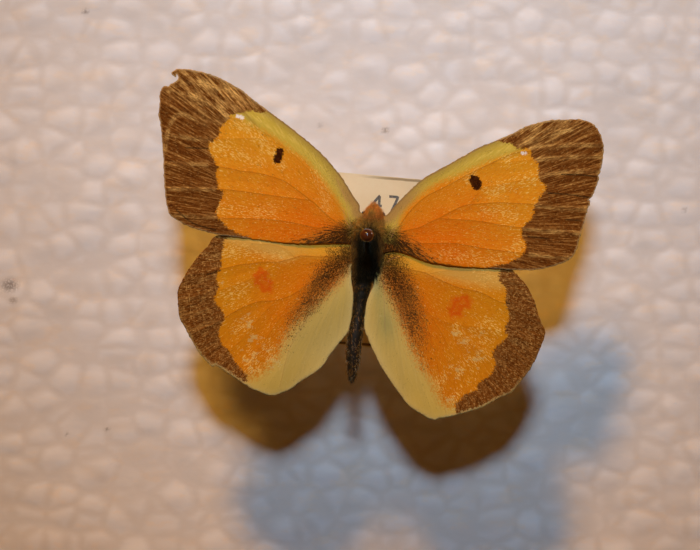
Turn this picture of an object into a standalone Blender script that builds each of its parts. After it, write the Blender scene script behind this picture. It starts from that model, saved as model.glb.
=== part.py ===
# A spread butterfly on an insect pin, with its data label, in a shallow wooden frame.
# A white foam panel fills the frame and holds the pin; a backing board closes the rear.
# Metres, +Z up, front facing -Y. The origin is the middle of the bounding box's base.

import math

import bmesh
import bpy
from mathutils import Vector
from mathutils.geometry import delaunay_2d_cdt

mm = 0.001
gap = 0.3 * mm                      # between pieces that touch

# The frame: four mitred rails with a lip in front and a rebate behind it.
opening_width = 100.0 * mm
opening_height = 84.0 * mm
rail_width = 11.0 * mm
rail_depth = 23.0 * mm
lip_cover = 3.0 * mm                # how far the lip reaches over the foam's edge
lip_depth = 5.0 * mm
front_round = 1.6 * mm              # rounding of the rails' two front edges
back_round = 0.5 * mm
round_steps = 3
mitre_gap = gap / math.sqrt(2)

# What the rebate holds.
foam_thickness = 12.0 * mm
board_thickness = 3.0 * mm
brad_radius = 0.6 * mm
brad_length = 9.0 * mm
brad_showing = 5.0 * mm             # the part of a brad that stands out over the board

# The pin and what is on it.
pin_radius = 0.25 * mm
pin_clearance = 0.15 * mm
pin_above_wings = 8.5 * mm          # from the wings to the middle of the head
pin_in_foam = 10.0 * mm
pin_point = 1.6 * mm                # length of the taper
pin_tip_radius = 0.03 * mm
pin_sides = 10
head_radius = 0.75 * mm
head_flat = 0.12 * mm               # cut off behind, where the shaft enters
wings_above_foam = 20.0 * mm
label_above_foam = 10.0 * mm
label_size = (16.0 * mm, 20.0 * mm)
label_thickness = 0.3 * mm
label_centre = (1.0 * mm, -2.75 * mm)
label_turn = math.radians(-5.0)

# The butterfly. Places are measured from the pin, in the plane of the wings.
wing_thickness = 0.3 * mm
wing_overlap_step = 0.65 * mm       # the forewings lie this far in front of the hindwings
wing_lift = 0.05                    # rise of the wings towards their tips
wing_level_reach = 3.0 * mm         # no rise nearer to the pin than this
wing_mesh_step = 2.2 * mm
thorax_centre = (0.15 * mm, 0.8 * mm, -1.35 * mm)
thorax_half = (1.9 * mm, 2.1 * mm, 3.1 * mm)
insect_head_centre = (0.7 * mm, 0.7 * mm, 3.0 * mm)
insect_head_half = (1.35 * mm, 1.2 * mm, 0.9 * mm)
abdomen_depth = 0.9 * mm            # how far its middle lies behind the wings
leg_radius = 0.14 * mm

# Overall sizes that follow from these.
frame_width = opening_width + 2 * rail_width
frame_height = opening_height + 2 * rail_width
panel_width = opening_width + 2 * (lip_cover - gap)
panel_height = opening_height + 2 * (lip_cover - gap)
front_of_pin = wings_above_foam + pin_above_wings + head_radius
rear_of_foam = rail_depth - lip_depth - gap
foam_front = (front_of_pin - rear_of_foam) / 2
rail_front = foam_front - lip_depth - gap
board_front = foam_front + foam_thickness + gap
wing_plane = foam_front - wings_above_foam
label_plane = foam_front - label_above_foam
frame_middle = frame_height / 2
pin_height = frame_middle + 1.0 * mm
pin_place = Vector((0, wing_plane, pin_height))

# Wing edges in mm from the pin, out along the leading edge and back to the root.
# The root itself is worked out from the thorax.
forewing_left_edge = [
    (-3.0, 7.0), (-5.2, 9.5), (-7.5, 11.5), (-10.8, 14.0), (-14.3, 16.7), (-16.6, 17.9),
    (-18.8, 18.6), (-20.9, 18.9), (-22.0, 18.4), (-23.1, 16.6), (-23.3, 14.9), (-23.2, 12.6),
    (-22.9, 9.2), (-22.7, 5.3), (-22.4, 3.2), (-21.1, 1.7), (-18.8, 0.7), (-16.0, 0.0),
    (-13.2, -0.1), (-9.8, -0.7), (-5.2, -0.8)]
forewing_right_edge = [
    (3.8, 4.1), (6.1, 6.3), (9.4, 8.3), (12.8, 10.1), (16.2, 11.5), (18.5, 12.6),
    (20.7, 13.1), (23.1, 13.2), (25.3, 12.8), (26.5, 11.1), (26.6, 8.8), (26.2, 6.7),
    (25.4, 4.5), (24.7, 2.4), (24.0, -0.3), (23.0, -2.5), (20.7, -3.4), (17.3, -3.8),
    (14.0, -3.6), (10.6, -3.4), (7.2, -2.9), (4.9, -2.1)]
hindwing_left_edge = [
    (-9.2, 0.1), (-16.4, 0.2), (-17.9, -1.1), (-19.5, -2.9), (-20.7, -4.8), (-21.3, -6.2),
    (-21.2, -8.1), (-20.7, -9.9), (-19.5, -12.2), (-17.9, -14.3), (-15.4, -15.6),
    (-13.1, -17.1), (-11.2, -17.9), (-9.4, -17.7), (-7.5, -16.4), (-5.3, -15.0),
    (-4.0, -13.2), (-2.6, -10.7), (-2.3, -7.9), (-2.4, -5.5)]
hindwing_right_edge = [
    (9.4, -2.4), (16.0, -3.3), (17.3, -4.6), (18.6, -6.5), (19.3, -8.1), (20.2, -10.8),
    (19.6, -12.8), (18.5, -15.0), (16.3, -17.7), (14.2, -18.8), (10.5, -20.1), (7.5, -20.7),
    (5.9, -19.9), (4.2, -18.2), (2.5, -16.2), (1.2, -13.7), (0.2, -10.2), (0.6, -8.0),
    (1.3, -5.8)]

# Height and half width of the abdomen, with its sideways bend, in mm from the pin.
abdomen_stations = [
    (-4.85, -0.10, 0.50), (-5.4, -0.25, 0.88), (-6.6, -0.50, 0.98), (-8.3, -0.88, 0.95),
    (-10.3, -1.15, 0.92), (-12.2, -1.40, 0.96), (-13.8, -1.52, 0.90), (-15.2, -1.60, 0.68),
    (-16.1, -1.65, 0.42), (-16.6, -1.68, 0.12)]

# One side's legs, folded back under the thorax: points in mm from the pin.
leg_routes = {
    "front": [(0.7, 2.8, 0.6), (1.5, 4.0, 1.9), (1.2, 4.6, -0.8), (0.9, 4.4, -3.0)],
    "middle": [(0.9, 3.15, -1.2), (2.4, 4.4, -0.6), (1.9, 5.0, -3.6), (1.4, 4.7, -6.0)],
    "hind": [(0.9, 3.05, -2.8), (2.7, 3.9, -3.2), (2.3, 4.4, -7.0), (1.7, 4.2, -9.6)]}


def material(name, colour, roughness, metallic=0.0):
    made = bpy.data.materials.new(name)
    made.use_nodes = True
    shader = made.node_tree.nodes["Principled BSDF"]
    shader.inputs["Base Color"].default_value = (*colour, 1)
    shader.inputs["Roughness"].default_value = roughness
    shader.inputs["Metallic"].default_value = metallic
    return made


def mesh_object(name, bm, colour, roughness, metallic=0.0, smooth=True):
    bmesh.ops.recalc_face_normals(bm, faces=bm.faces)
    mesh = bpy.data.meshes.new(name)
    bm.to_mesh(mesh)
    bm.free()
    if smooth:
        mesh.shade_smooth()
        mesh.set_sharp_from_angle(angle=math.radians(35))
    made = bpy.data.objects.new(name, mesh)
    bpy.context.scene.collection.objects.link(made)
    made.data.materials.append(material(name, colour, roughness, metallic))
    return made


def cut_cylinder(target, radius, length, location, along):
    # Takes a round hole out of the target, its axis along "X", "Y" or "Z".
    turns = {"X": (0, math.pi / 2, 0), "Y": (math.pi / 2, 0, 0), "Z": (0, 0, 0)}
    bm = bmesh.new()
    bmesh.ops.create_cone(bm, cap_ends=True, segments=16, radius1=radius, radius2=radius,
                          depth=length)
    mesh = bpy.data.meshes.new(target.name + "_cutter")
    bm.to_mesh(mesh)
    bm.free()
    cutter = bpy.data.objects.new(target.name + "_cutter", mesh)
    bpy.context.scene.collection.objects.link(cutter)
    cutter.location = location
    cutter.rotation_euler = turns[along]
    cutter.hide_render = True
    cutter.display_type = "WIRE"
    cut = target.modifiers.new("hole", "BOOLEAN")
    cut.operation = "DIFFERENCE"
    cut.solver = "EXACT"
    cut.object = cutter


def rail_section():
    # Distance in from the frame's outer edge, and distance back from its front face.
    rebate = rail_width - lip_cover
    quarter = []
    for step in range(round_steps + 1):
        angle = math.pi / 2 * step / round_steps
        quarter.append((front_round * (1 - math.sin(angle)), front_round * (1 - math.cos(angle))))
    section = quarter[::-1]
    section += [(rail_width - across, back) for across, back in quarter]
    section += [(rail_width, lip_depth), (rebate, lip_depth), (rebate, rail_depth)]
    section += [(back_round, rail_depth), (0, rail_depth - back_round)]
    return section


def rail(name, section, length, turn):
    # A mitred rail: the further in from the outer edge, the shorter it is.
    bm = bmesh.new()
    ends = []
    for side in (-1, 1):
        ring = []
        for inward, back in section:
            reach = length / 2 - inward - mitre_gap
            ring.append(bm.verts.new((side * reach, back, inward)))
        ends.append(ring)
    count = len(section)
    for index in range(count):
        after = (index + 1) % count
        bm.faces.new((ends[0][index], ends[0][after], ends[1][after], ends[1][index]))
    bm.faces.new(ends[0])
    bm.faces.new(ends[1])
    made = mesh_object(name, bm, (0.30, 0.17, 0.08), 0.5)
    made.rotation_euler = (0, turn, 0)
    return made


def block(name, size, centre, bevel, colour, roughness):
    bm = bmesh.new()
    bmesh.ops.create_cube(bm, size=1)
    bmesh.ops.scale(bm, vec=size, verts=bm.verts)
    bmesh.ops.bevel(bm, geom=bm.edges[:], offset=bevel, segments=1, affect="EDGES")
    made = mesh_object(name, bm, colour, roughness, smooth=False)
    made.location = centre
    return made


def brad(name, place, turn):
    bm = bmesh.new()
    bmesh.ops.create_cone(bm, cap_ends=True, segments=10, radius1=brad_radius,
                          radius2=brad_radius, depth=brad_length)
    made = mesh_object(name, bm, (0.5, 0.5, 0.5), 0.35, 1.0)
    made.location = place
    made.rotation_euler = (0, turn, 0)
    return made


def ellipsoid(name, centre, half, colour, roughness, rings=10, segments=16):
    bm = bmesh.new()
    bmesh.ops.create_uvsphere(bm, u_segments=segments, v_segments=rings, radius=1)
    bmesh.ops.scale(bm, vec=half, verts=bm.verts)
    made = mesh_object(name, bm, colour, roughness)
    made.location = pin_place + Vector(centre)
    return made


def smooth_edge(points, steps=3):
    # A Catmull-Rom curve through the points, with a few steps between each two.
    knots = [Vector(point) * mm for point in points]
    knots = [2 * knots[0] - knots[1]] + knots + [2 * knots[-1] - knots[-2]]
    curve = []
    for before, start, end, after in zip(knots, knots[1:], knots[2:], knots[3:]):
        for step in range(steps):
            t = step / steps
            curve.append(0.5 * (2 * start + (end - before) * t
                                + (2 * before - 5 * start + 4 * end - after) * t ** 2
                                + (3 * start - before - 3 * end + after) * t ** 3))
    curve.append(knots[-2])
    return curve


def wing_depth(x, z, hind):
    # How far behind the wing plane the middle of a wing lies.
    reach = max(abs(x) - wing_level_reach, 0)
    depth = -wing_lift * reach
    if hind:
        depth += wing_overlap_step
    return depth


def root_edge(side, top, bottom, hind, steps=4):
    # Points beside the thorax, one gap off its surface, from the top down.
    points = []
    for step in range(steps + 1):
        z = (top + (bottom - top) * step / steps) * mm
        behind = wing_depth(0, z, hind) - thorax_centre[1]
        along = (z - thorax_centre[2]) / thorax_half[2]
        across = 1 - along ** 2 - (behind / thorax_half[1]) ** 2
        half = thorax_half[0] * math.sqrt(max(across, 0))
        points.append(Vector((thorax_centre[0] + side * (half + gap), z)))
    return points


def inside(point, outline):
    hit = False
    for start, end in zip(outline, outline[1:] + outline[:1]):
        if (start.y > point.y) != (end.y > point.y):
            t = (point.y - start.y) / (end.y - start.y)
            if point.x < start.x + t * (end.x - start.x):
                hit = not hit
    return hit


def wing(name, edge, side, root_top, root_bottom, hind, colour):
    # A thin closed plate with a triangulated front and back and a rim between them.
    root = root_edge(side, root_top, root_bottom, hind)
    if side > 0:
        outline = smooth_edge(edge[::-1]) + root
    else:
        outline = smooth_edge(edge) + root[::-1]
    spacing = wing_mesh_step
    corner = Vector((min(p.x for p in outline), min(p.y for p in outline)))
    columns = int((max(p.x for p in outline) - corner.x) / spacing) + 1
    rows = int((max(p.y for p in outline) - corner.y) / spacing) + 1
    fill = []
    for row in range(rows):
        for column in range(columns):
            point = corner + Vector((column + 0.5 * (row % 2), row)) * spacing
            near = min((point - other).length for other in outline)
            if near > 0.45 * spacing and inside(point, outline):
                fill.append(point)
    rim = len(outline)
    loop = list(range(rim))
    flat, _, faces, _, _, _ = delaunay_2d_cdt(outline + fill, [], [loop], 1, 1e-7)
    bm = bmesh.new()
    layers = []
    for offset in (-wing_thickness / 2, wing_thickness / 2):
        layers.append([bm.verts.new((p.x, wing_depth(p.x, p.y, hind) + offset, p.y))
                       for p in flat])
    for face in faces:
        bm.faces.new([layers[0][index] for index in face])
        bm.faces.new([layers[1][index] for index in reversed(face)])
    for index in range(rim):
        after = (index + 1) % rim
        bm.faces.new((layers[0][index], layers[1][index], layers[1][after], layers[0][after]))
    made = mesh_object(name, bm, colour, 0.7)
    made.location = pin_place
    return made


def abdomen():
    sides = 14
    bm = bmesh.new()
    rings = []
    for z, x, half in abdomen_stations:
        ring = []
        for step in range(sides):
            angle = 2 * math.pi * step / sides
            ring.append(bm.verts.new((
                (x + half * math.cos(angle)) * mm,
                abdomen_depth + 1.05 * half * math.sin(angle) * mm, z * mm)))
        rings.append(ring)
    for upper, lower in zip(rings, rings[1:]):
        bmesh.ops.bridge_loops(bm, edges=ring_edges(bm, upper) + ring_edges(bm, lower))
    bm.faces.new(rings[0])
    bm.faces.new(rings[-1])
    made = mesh_object("abdomen", bm, (0.03, 0.02, 0.012), 0.8)
    made.location = pin_place


def ring_edges(bm, ring):
    edges = []
    for start, end in zip(ring, ring[1:] + ring[:1]):
        found = bm.edges.get((start, end))
        edges.append(found if found else bm.edges.new((start, end)))
    return edges


def leg(name, route, side):
    curve = bpy.data.curves.new(name, "CURVE")
    curve.dimensions = "3D"
    curve.bevel_depth = leg_radius
    curve.bevel_resolution = 1
    curve.use_fill_caps = True
    spline = curve.splines.new("POLY")
    spline.points.add(len(route) - 1)
    for point, (x, y, z) in zip(spline.points, route):
        point.co = (side * x * mm, y * mm, z * mm, 1)
    curve.materials.append(material(name, (0.06, 0.035, 0.02), 0.7))
    made = bpy.data.objects.new(name, curve)
    bpy.context.scene.collection.objects.link(made)
    made.location = pin_place


def insect_pin():
    # Starts one gap behind the head's flat and tapers to its point in the foam.
    start = wing_plane - pin_above_wings + head_radius - head_flat + pin_clearance
    end = foam_front + pin_in_foam
    bm = bmesh.new()
    rings = []
    for y, radius in ((start, pin_radius), (end - pin_point, pin_radius), (end, pin_tip_radius)):
        ring = []
        for step in range(pin_sides):
            angle = 2 * math.pi * step / pin_sides
            ring.append(bm.verts.new((radius * math.cos(angle), y, radius * math.sin(angle))))
        rings.append(ring)
    for upper, lower in zip(rings, rings[1:]):
        bmesh.ops.bridge_loops(bm, edges=ring_edges(bm, upper) + ring_edges(bm, lower))
    bm.faces.new(rings[0])
    bm.faces.new(rings[-1])
    made = mesh_object("insect_pin", bm, (0.12, 0.12, 0.13), 0.3, 1.0)
    made.location = (0, 0, pin_height)


def pin_head():
    bm = bmesh.new()
    bmesh.ops.create_uvsphere(bm, u_segments=16, v_segments=10, radius=head_radius)
    everything = bm.verts[:] + bm.edges[:] + bm.faces[:]
    flat_at = head_radius - head_flat
    bmesh.ops.bisect_plane(bm, geom=everything, plane_co=(0, flat_at, 0),
                           plane_no=(0, 1, 0), clear_outer=True)
    bmesh.ops.holes_fill(bm, edges=[edge for edge in bm.edges if edge.is_boundary])
    made = mesh_object("pin_head", bm, (0.35, 0.16, 0.05), 0.15)
    made.location = pin_place + Vector((0, -pin_above_wings, 0))


def data_label():
    width, height = label_size
    bm = bmesh.new()
    bmesh.ops.create_cube(bm, size=1)
    bmesh.ops.scale(bm, vec=(width, label_thickness, height), verts=bm.verts)
    made = mesh_object("data_label", bm, (0.70, 0.50, 0.30), 0.85, smooth=False)
    made.location = (label_centre[0], label_plane, pin_height + label_centre[1])
    made.rotation_euler = (0, -label_turn, 0)
    return made


for old in list(bpy.data.objects):
    bpy.data.objects.remove(old, do_unlink=True)

# The frame.
rail_points = rail_section()
rails = {}
rail_plan = {
    "bottom": (frame_width, 0, (0, 0)),
    "top": (frame_width, math.pi, (0, frame_height)),
    "left": (frame_height, math.pi / 2, (-frame_width / 2, frame_middle)),
    "right": (frame_height, -math.pi / 2, (frame_width / 2, frame_middle))}
for side_name, (length, turn, (x, z)) in rail_plan.items():
    rails[side_name] = rail("frame_rail_" + side_name, rail_points, length, turn)
    rails[side_name].location = (x, rail_front, z)

foam = block("foam_panel", (panel_width, foam_thickness, panel_height),
             (0, foam_front + foam_thickness / 2, frame_middle), 0.4 * mm,
             (0.72, 0.62, 0.56), 0.8)
block("backing_board", (panel_width, board_thickness, panel_height),
      (0, board_front + board_thickness / 2, frame_middle), 0.3 * mm,
      (0.33, 0.2, 0.1), 0.7)

# Two brads in each rail hold the board down.
brad_plane = board_front + board_thickness + gap + brad_radius
rebate_width = opening_width / 2 + lip_cover
rebate_height = opening_height / 2 + lip_cover
brad_middle = brad_length / 2 - brad_showing
brad_number = 0
for side_name, outward, along in (("left", (-1, 0), "X"), ("right", (1, 0), "X"),
                                  ("top", (0, 1), "Z"), ("bottom", (0, -1), "Z")):
    reach = rebate_width if along == "X" else rebate_height
    spread = opening_height / 4 if along == "X" else opening_width / 4
    for offset in (-spread, spread):
        brad_number += 1
        middle = reach + brad_middle
        x = outward[0] * middle + (offset if along == "Z" else 0)
        z = outward[1] * middle + (offset if along == "X" else 0)
        place = Vector((x, brad_plane, frame_middle + z))
        brad(f"backing_brad_{brad_number}", place, math.pi / 2 if along == "X" else 0)
        cut_cylinder(rails[side_name], brad_radius + pin_clearance,
                     brad_length + 2 * gap, place, along)

# The pin, its head and the label.
insect_pin()
pin_head()
label = data_label()
hole = pin_radius + pin_clearance
cut_cylinder(label, hole, 4 * label_thickness, (0, label_plane, pin_height), "Y")
foam_hole = pin_in_foam + gap
cut_cylinder(foam, hole, 2 * foam_hole, (0, foam_front, pin_height), "Y")

# The butterfly.
ellipsoid("head", insect_head_centre, insect_head_half, (0.16, 0.07, 0.03), 0.8)
thorax = ellipsoid("thorax", thorax_centre, thorax_half, (0.03, 0.02, 0.012), 0.85)
cut_cylinder(thorax, hole, 6 * thorax_half[1], pin_place, "Y")
abdomen()
wing("forewing_left", forewing_left_edge, -1, 1.4, -1.0, False, (0.5, 0.14, 0.01))
wing("forewing_right", forewing_right_edge, 1, 1.4, -1.8, False, (0.5, 0.14, 0.01))
wing("hindwing_left", hindwing_left_edge, -1, -0.6, -3.4, True, (0.5, 0.12, 0.01))
wing("hindwing_right", hindwing_right_edge, 1, -1.0, -3.6, True, (0.5, 0.12, 0.01))
for pair, route in leg_routes.items():
    leg(f"leg_{pair}_left", route, -1)
    leg(f"leg_{pair}_right", route, 1)
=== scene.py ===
import math

import bmesh
import bpy
import numpy as np
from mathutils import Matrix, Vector
from mathutils.geometry import delaunay_2d_cdt


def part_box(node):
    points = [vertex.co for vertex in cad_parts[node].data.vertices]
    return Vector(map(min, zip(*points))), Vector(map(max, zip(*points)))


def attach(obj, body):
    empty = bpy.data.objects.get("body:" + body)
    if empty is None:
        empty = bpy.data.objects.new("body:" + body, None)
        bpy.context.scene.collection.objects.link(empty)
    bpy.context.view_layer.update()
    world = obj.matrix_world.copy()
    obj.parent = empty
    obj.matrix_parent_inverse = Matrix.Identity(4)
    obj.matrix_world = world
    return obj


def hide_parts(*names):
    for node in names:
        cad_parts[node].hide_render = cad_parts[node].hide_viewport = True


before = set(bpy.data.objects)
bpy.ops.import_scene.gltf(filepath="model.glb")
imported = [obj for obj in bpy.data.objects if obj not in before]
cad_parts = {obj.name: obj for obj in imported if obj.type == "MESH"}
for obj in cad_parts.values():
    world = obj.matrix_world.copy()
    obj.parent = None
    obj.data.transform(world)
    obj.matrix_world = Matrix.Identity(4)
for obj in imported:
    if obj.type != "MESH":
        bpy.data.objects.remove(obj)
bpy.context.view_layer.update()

mm = 0.001
scene = bpy.context.scene


# Places that the rest is built from, read from the frame
pinLow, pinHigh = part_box("insect_pin")
headLow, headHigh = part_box("pin_head")
labelLow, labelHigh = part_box("data_label")
foamLow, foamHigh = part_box("foam_panel")
pinX = (pinLow.x + pinHigh.x) / 2
pinZ = (pinLow.z + pinHigh.z) / 2
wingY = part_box("forewing_left")[1].y - 0.15 * mm   # middle of the forewings near the body
labelY = (labelLow.y + labelHigh.y) / 2
print("frame loaded, wings", round((foamLow.y - wingY) / mm, 1), "mm in front of the foam")


# Small tools for meshes

def smoothPath(points, steps=6):
    # a Catmull-Rom curve through the points
    p = np.array(points, float)
    p = np.vstack([2 * p[0] - p[1], p, 2 * p[-1] - p[-2]])
    t = (np.arange(steps) / steps)[:, None]
    out = []
    for a, b, c, d in zip(p, p[1:], p[2:], p[3:]):
        out.append(0.5 * (2 * b + (c - a) * t + (2 * a - 5 * b + 4 * c - d) * t ** 2
                          + (3 * b - a - 3 * c + d) * t ** 3))
    out.append(p[-2][None, :])
    return np.vstack(out)


def evenPath(path, spacing):
    # the same path with points an even distance apart
    lengths = np.hypot(*np.diff(path, axis=0).T)
    along = np.concatenate([[0], np.cumsum(lengths)])
    count = max(2, int(along[-1] / spacing) + 1)
    want = np.linspace(0, along[-1], count)
    return np.stack([np.interp(want, along, path[:, k]) for k in range(path.shape[1])], 1)


def awayFrom(places, path):
    # how far each place lies from the path
    best = np.full(len(places), 1e9)
    for a, b in zip(path[:-1], path[1:]):
        ab = b - a
        t = np.clip(((places - a) @ ab) / max(ab @ ab, 1e-12), 0, 1)
        best = np.minimum(best, np.hypot(*(places - a - t[:, None] * ab).T))
    return best


def within(places, ring):
    # which places lie inside the closed ring
    hit = np.zeros(len(places), bool)
    x, z = places.T
    for (ax, az), (bx, bz) in zip(ring, np.roll(ring, -1, axis=0)):
        if az == bz:
            continue
        crosses = (az > z) != (bz > z)
        hit ^= crosses & (x < ax + (z - az) / (bz - az) * (bx - ax))
    return hit


def zone(places, edge, around):
    # distance from the edge curve, positive on the side closed by the around points
    curve = smoothPath(edge, 4)
    ring = np.vstack([curve, np.array(around, float)])
    return np.where(within(places, ring), 1, -1) * awayFrom(places, curve)


def ramp(value, low, high):
    t = np.clip((value - low) / (high - low), 0, 1)
    return t * t * (3 - 2 * t)


def meshObject(name, verts, faces, material=None, smooth=True, sharp=None):
    mesh = bpy.data.meshes.new(name)
    mesh.from_pydata([tuple(v) for v in verts], [], [tuple(f) for f in faces])
    mesh.update()
    if smooth:
        mesh.shade_smooth()
    if sharp is not None:
        mesh.set_sharp_from_angle(angle=math.radians(sharp))
    made = bpy.data.objects.new(name, mesh)
    scene.collection.objects.link(made)
    if material:
        mesh.materials.append(material)
    return made


def setAttribute(obj, name, values, kind="FLOAT"):
    layer = obj.data.attributes.new(name, kind, "POINT")
    field = {"FLOAT": "value", "FLOAT_VECTOR": "vector"}[kind]
    layer.data.foreach_set(field, np.ascontiguousarray(values, dtype=np.float32).ravel())


def fixNormals(obj):
    # doubles merged, then every face turned outwards
    bm = bmesh.new()
    bm.from_mesh(obj.data)
    bmesh.ops.remove_doubles(bm, verts=bm.verts, dist=1e-7)
    bmesh.ops.recalc_face_normals(bm, faces=bm.faces)
    bm.to_mesh(obj.data)
    bm.free()


def ringFaces(rows, sides):
    # the skin between rings of points, with both ends closed
    faces = []
    for row in range(rows - 1):
        for k in range(sides):
            after = (k + 1) % sides
            faces.append((row * sides + k, row * sides + after, (row + 1) * sides + after,
                          (row + 1) * sides + k))
    faces.append(tuple(range(sides)))
    faces.append(tuple((rows - 1) * sides + k for k in range(sides)))
    return faces


def gridFaces(index):
    # the squares of a grid of point numbers, and its border in order
    quads = np.stack([index[:-1, :-1], index[:-1, 1:], index[1:, 1:], index[1:, :-1]], -1)
    border = np.concatenate([index[0, :-1], index[:-1, -1], index[-1, :0:-1], index[:0:-1, 0]])
    return [tuple(q) for q in quads.reshape(-1, 4)], border


def finishPiece(obj, slotName, *nodes):
    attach(obj, "root")
    if nodes:
        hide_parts(*nodes)
    return obj


# Shader maths

class Val:
    # a socket that can be used in sums
    def __init__(self, shop, socket):
        self.shop = shop
        self.socket = socket

    def maths(self, operation, other=None, otherFirst=False):
        pair = [other, self] if otherFirst else [self, other]
        return self.shop.node("ShaderNodeMath", {"operation": operation}, pair)

    def __add__(self, other):
        return self.maths("ADD", other)

    def __mul__(self, other):
        return self.maths("MULTIPLY", other)

    def __sub__(self, other):
        return self.maths("SUBTRACT", other)

    def __rsub__(self, other):
        return self.maths("SUBTRACT", other, True)

    __radd__ = __add__
    __rmul__ = __mul__

    def least(self, other):
        return self.maths("MINIMUM", other)

    def most(self, other):
        return self.maths("MAXIMUM", other)

    def between(self, low, high, toLow=0.0, toHigh=1.0):
        # smooth step from low to high
        return self.shop.node("ShaderNodeMapRange", {"interpolation_type": "SMOOTHSTEP"},
                              [self, low, high, toLow, toHigh])

    def near(self, low, high):
        # one up to low, fading to nothing at high
        return 1.0 - self.between(low, high)

    def sway(self, width):
        # a value from 0 to 1 turned into one that swings this wide about zero
        return (self - 0.5) * width


class Shop:
    # one material and its nodes
    def __init__(self, name):
        self.material = bpy.data.materials.new(name)
        self.material.use_nodes = True
        self.tree = self.material.node_tree
        self.tree.nodes.clear()

    def node(self, kind, settings=None, sockets=None, out=0):
        made = self.tree.nodes.new(kind)
        for key, value in (settings or {}).items():
            if key == "stops":
                ramps = made.color_ramp.elements
                while len(ramps) < len(value):
                    ramps.new(0.5)
                for element, (place, colour) in zip(ramps, value):
                    element.position = place
                    element.color = (*colour, 1)
            else:
                setattr(made, key, value)
        pairs = sockets.items() if isinstance(sockets, dict) else enumerate(sockets or [])
        for key, value in pairs:
            if value is None:
                continue
            if isinstance(value, Val):
                self.tree.links.new(value.socket, made.inputs[key])
            elif isinstance(value, (tuple, list)) and made.inputs[key].type == "RGBA":
                made.inputs[key].default_value = (*value[:3], 1)
            else:
                made.inputs[key].default_value = value
        return Val(self, made.outputs[out]) if len(made.outputs) else None

    def times(self, vector, factors):
        return self.node("ShaderNodeVectorMath", {"operation": "MULTIPLY"}, [vector, factors])

    def place(self, stretch=(1, 1, 1)):
        # object coordinates in mm
        coordinates = self.node("ShaderNodeTexCoord", out="Object")
        return self.times(coordinates, tuple(1000 * k for k in stretch))

    def attribute(self, name, out="Fac"):
        return self.node("ShaderNodeAttribute", {"attribute_name": name}, out=out)

    def noise(self, vector, scale=1.0, detail=2.0, roughness=0.5, distortion=0.0):
        return self.node("ShaderNodeTexNoise", {}, {
            "Vector": vector, "Scale": scale, "Detail": detail, "Roughness": roughness,
            "Distortion": distortion})

    def cells(self, vector, scale=1.0, out="Color", feature="F1"):
        return self.node("ShaderNodeTexVoronoi", {"feature": feature},
                         {"Vector": vector, "Scale": scale}, out=out)

    def split(self, colour):
        made = self.node("ShaderNodeSeparateColor", {}, [colour])
        return [Val(self, made.socket.node.outputs[k]) for k in range(3)]

    def mix(self, factor, first, second, blend="MIX"):
        return self.node("ShaderNodeMix", {"data_type": "RGBA", "blend_type": blend},
                         {0: factor, 6: first, 7: second}, out=2)

    def layers(self, base, *coats):
        # coats of (mask, colour) laid over the base one after another
        for mask, colour in coats:
            base = self.mix(mask, base, colour)
        return base

    def bump(self, height, strength, distance):
        return self.node("ShaderNodeBump", {}, {
            "Strength": strength, "Distance": distance, "Height": height})

    def finish(self, **sockets):
        names = {"colour": "Base Color", "roughness": "Roughness", "metallic": "Metallic",
                 "normal": "Normal", "coat": "Coat Weight", "coatRoughness": "Coat Roughness",
                 "specular": "Specular IOR Level"}
        shader = self.node("ShaderNodeBsdfPrincipled", {},
                           {names[key]: value for key, value in sockets.items()})
        self.node("ShaderNodeOutputMaterial", {}, {"Surface": shader})
        return self.material


# Camera, lights and floor

view = {
    "distance": 300 * mm,          # from the wings
    "fieldWidth": 79.1 * mm,       # seen across at the wings
    "left": 1.86 * mm,             # the camera stands this far left of the pin
    "below": 4.35 * mm,            # and this far below it
    "sensor": 36,
}


def makeCamera():
    data = bpy.data.cameras.new("camera")
    camera = bpy.data.objects.new("camera", data)
    scene.collection.objects.link(camera)
    data.sensor_width = view["sensor"]
    data.lens = view["sensor"] * view["distance"] / view["fieldWidth"]
    data.clip_start = 0.01
    data.clip_end = 20
    camera.location = (pinX - view["left"], wingY - view["distance"], pinZ - view["below"])
    camera.rotation_euler = (math.radians(90), 0, 0)
    scene.camera = camera


lights = {
    # offset and aim from the pin at the wings, size across, beam in degrees, watts and colour
    "frontLight": {"offset": (-0.009, -0.720, 0.310), "aim": (0.006, 0, 0.042),
                   "size": 0.120, "beam": 15.0, "power": 0.0395, "colour": (0.56, 0.775, 1.0)},
    "warmLamp": {"offset": (-0.248, -0.900, 1.080), "aim": (-0.026, 0, 0.052),
                 "size": 0.280, "beam": 15, "power": 0.152, "colour": (1.0, 0.475, 0.070)},
    "rearLight": {"offset": (0.35, 0.75, 0.45), "aim": (0, 0, 0.02),
                  "size": 0.25, "beam": 16, "power": 0.160, "colour": (1.0, 0.88, 0.76)},
    "sideLight": {"offset": (0.75, 0.25, 0.35), "aim": (0, 0, 0.02),
                  "size": 0.25, "beam": 16, "power": 0.050, "colour": (1.0, 0.86, 0.72)},
    "roomLight": {"offset": (0.10, 0.95, 0.85), "aim": (0, 0.05, -0.05),
                  "size": 0.50, "beam": 130, "power": 3.5, "colour": (1.0, 0.95, 0.89)},
}


room = {
    "glow": (1.0, 0.36, 0.03),     # the faint warm light that reaches into the shadows
    "glowStrength": 0.085,
    "backdrop": (0.62, 0.60, 0.57),
    "floorHalf": 3.0,              # metres
    "floorPale": ((0.66, 0.645, 0.62), (0.71, 0.695, 0.67)),
    "floorBounce": (0.06, 0.035, 0.015),   # what it throws back, so that the shadows stay deep
}


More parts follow.
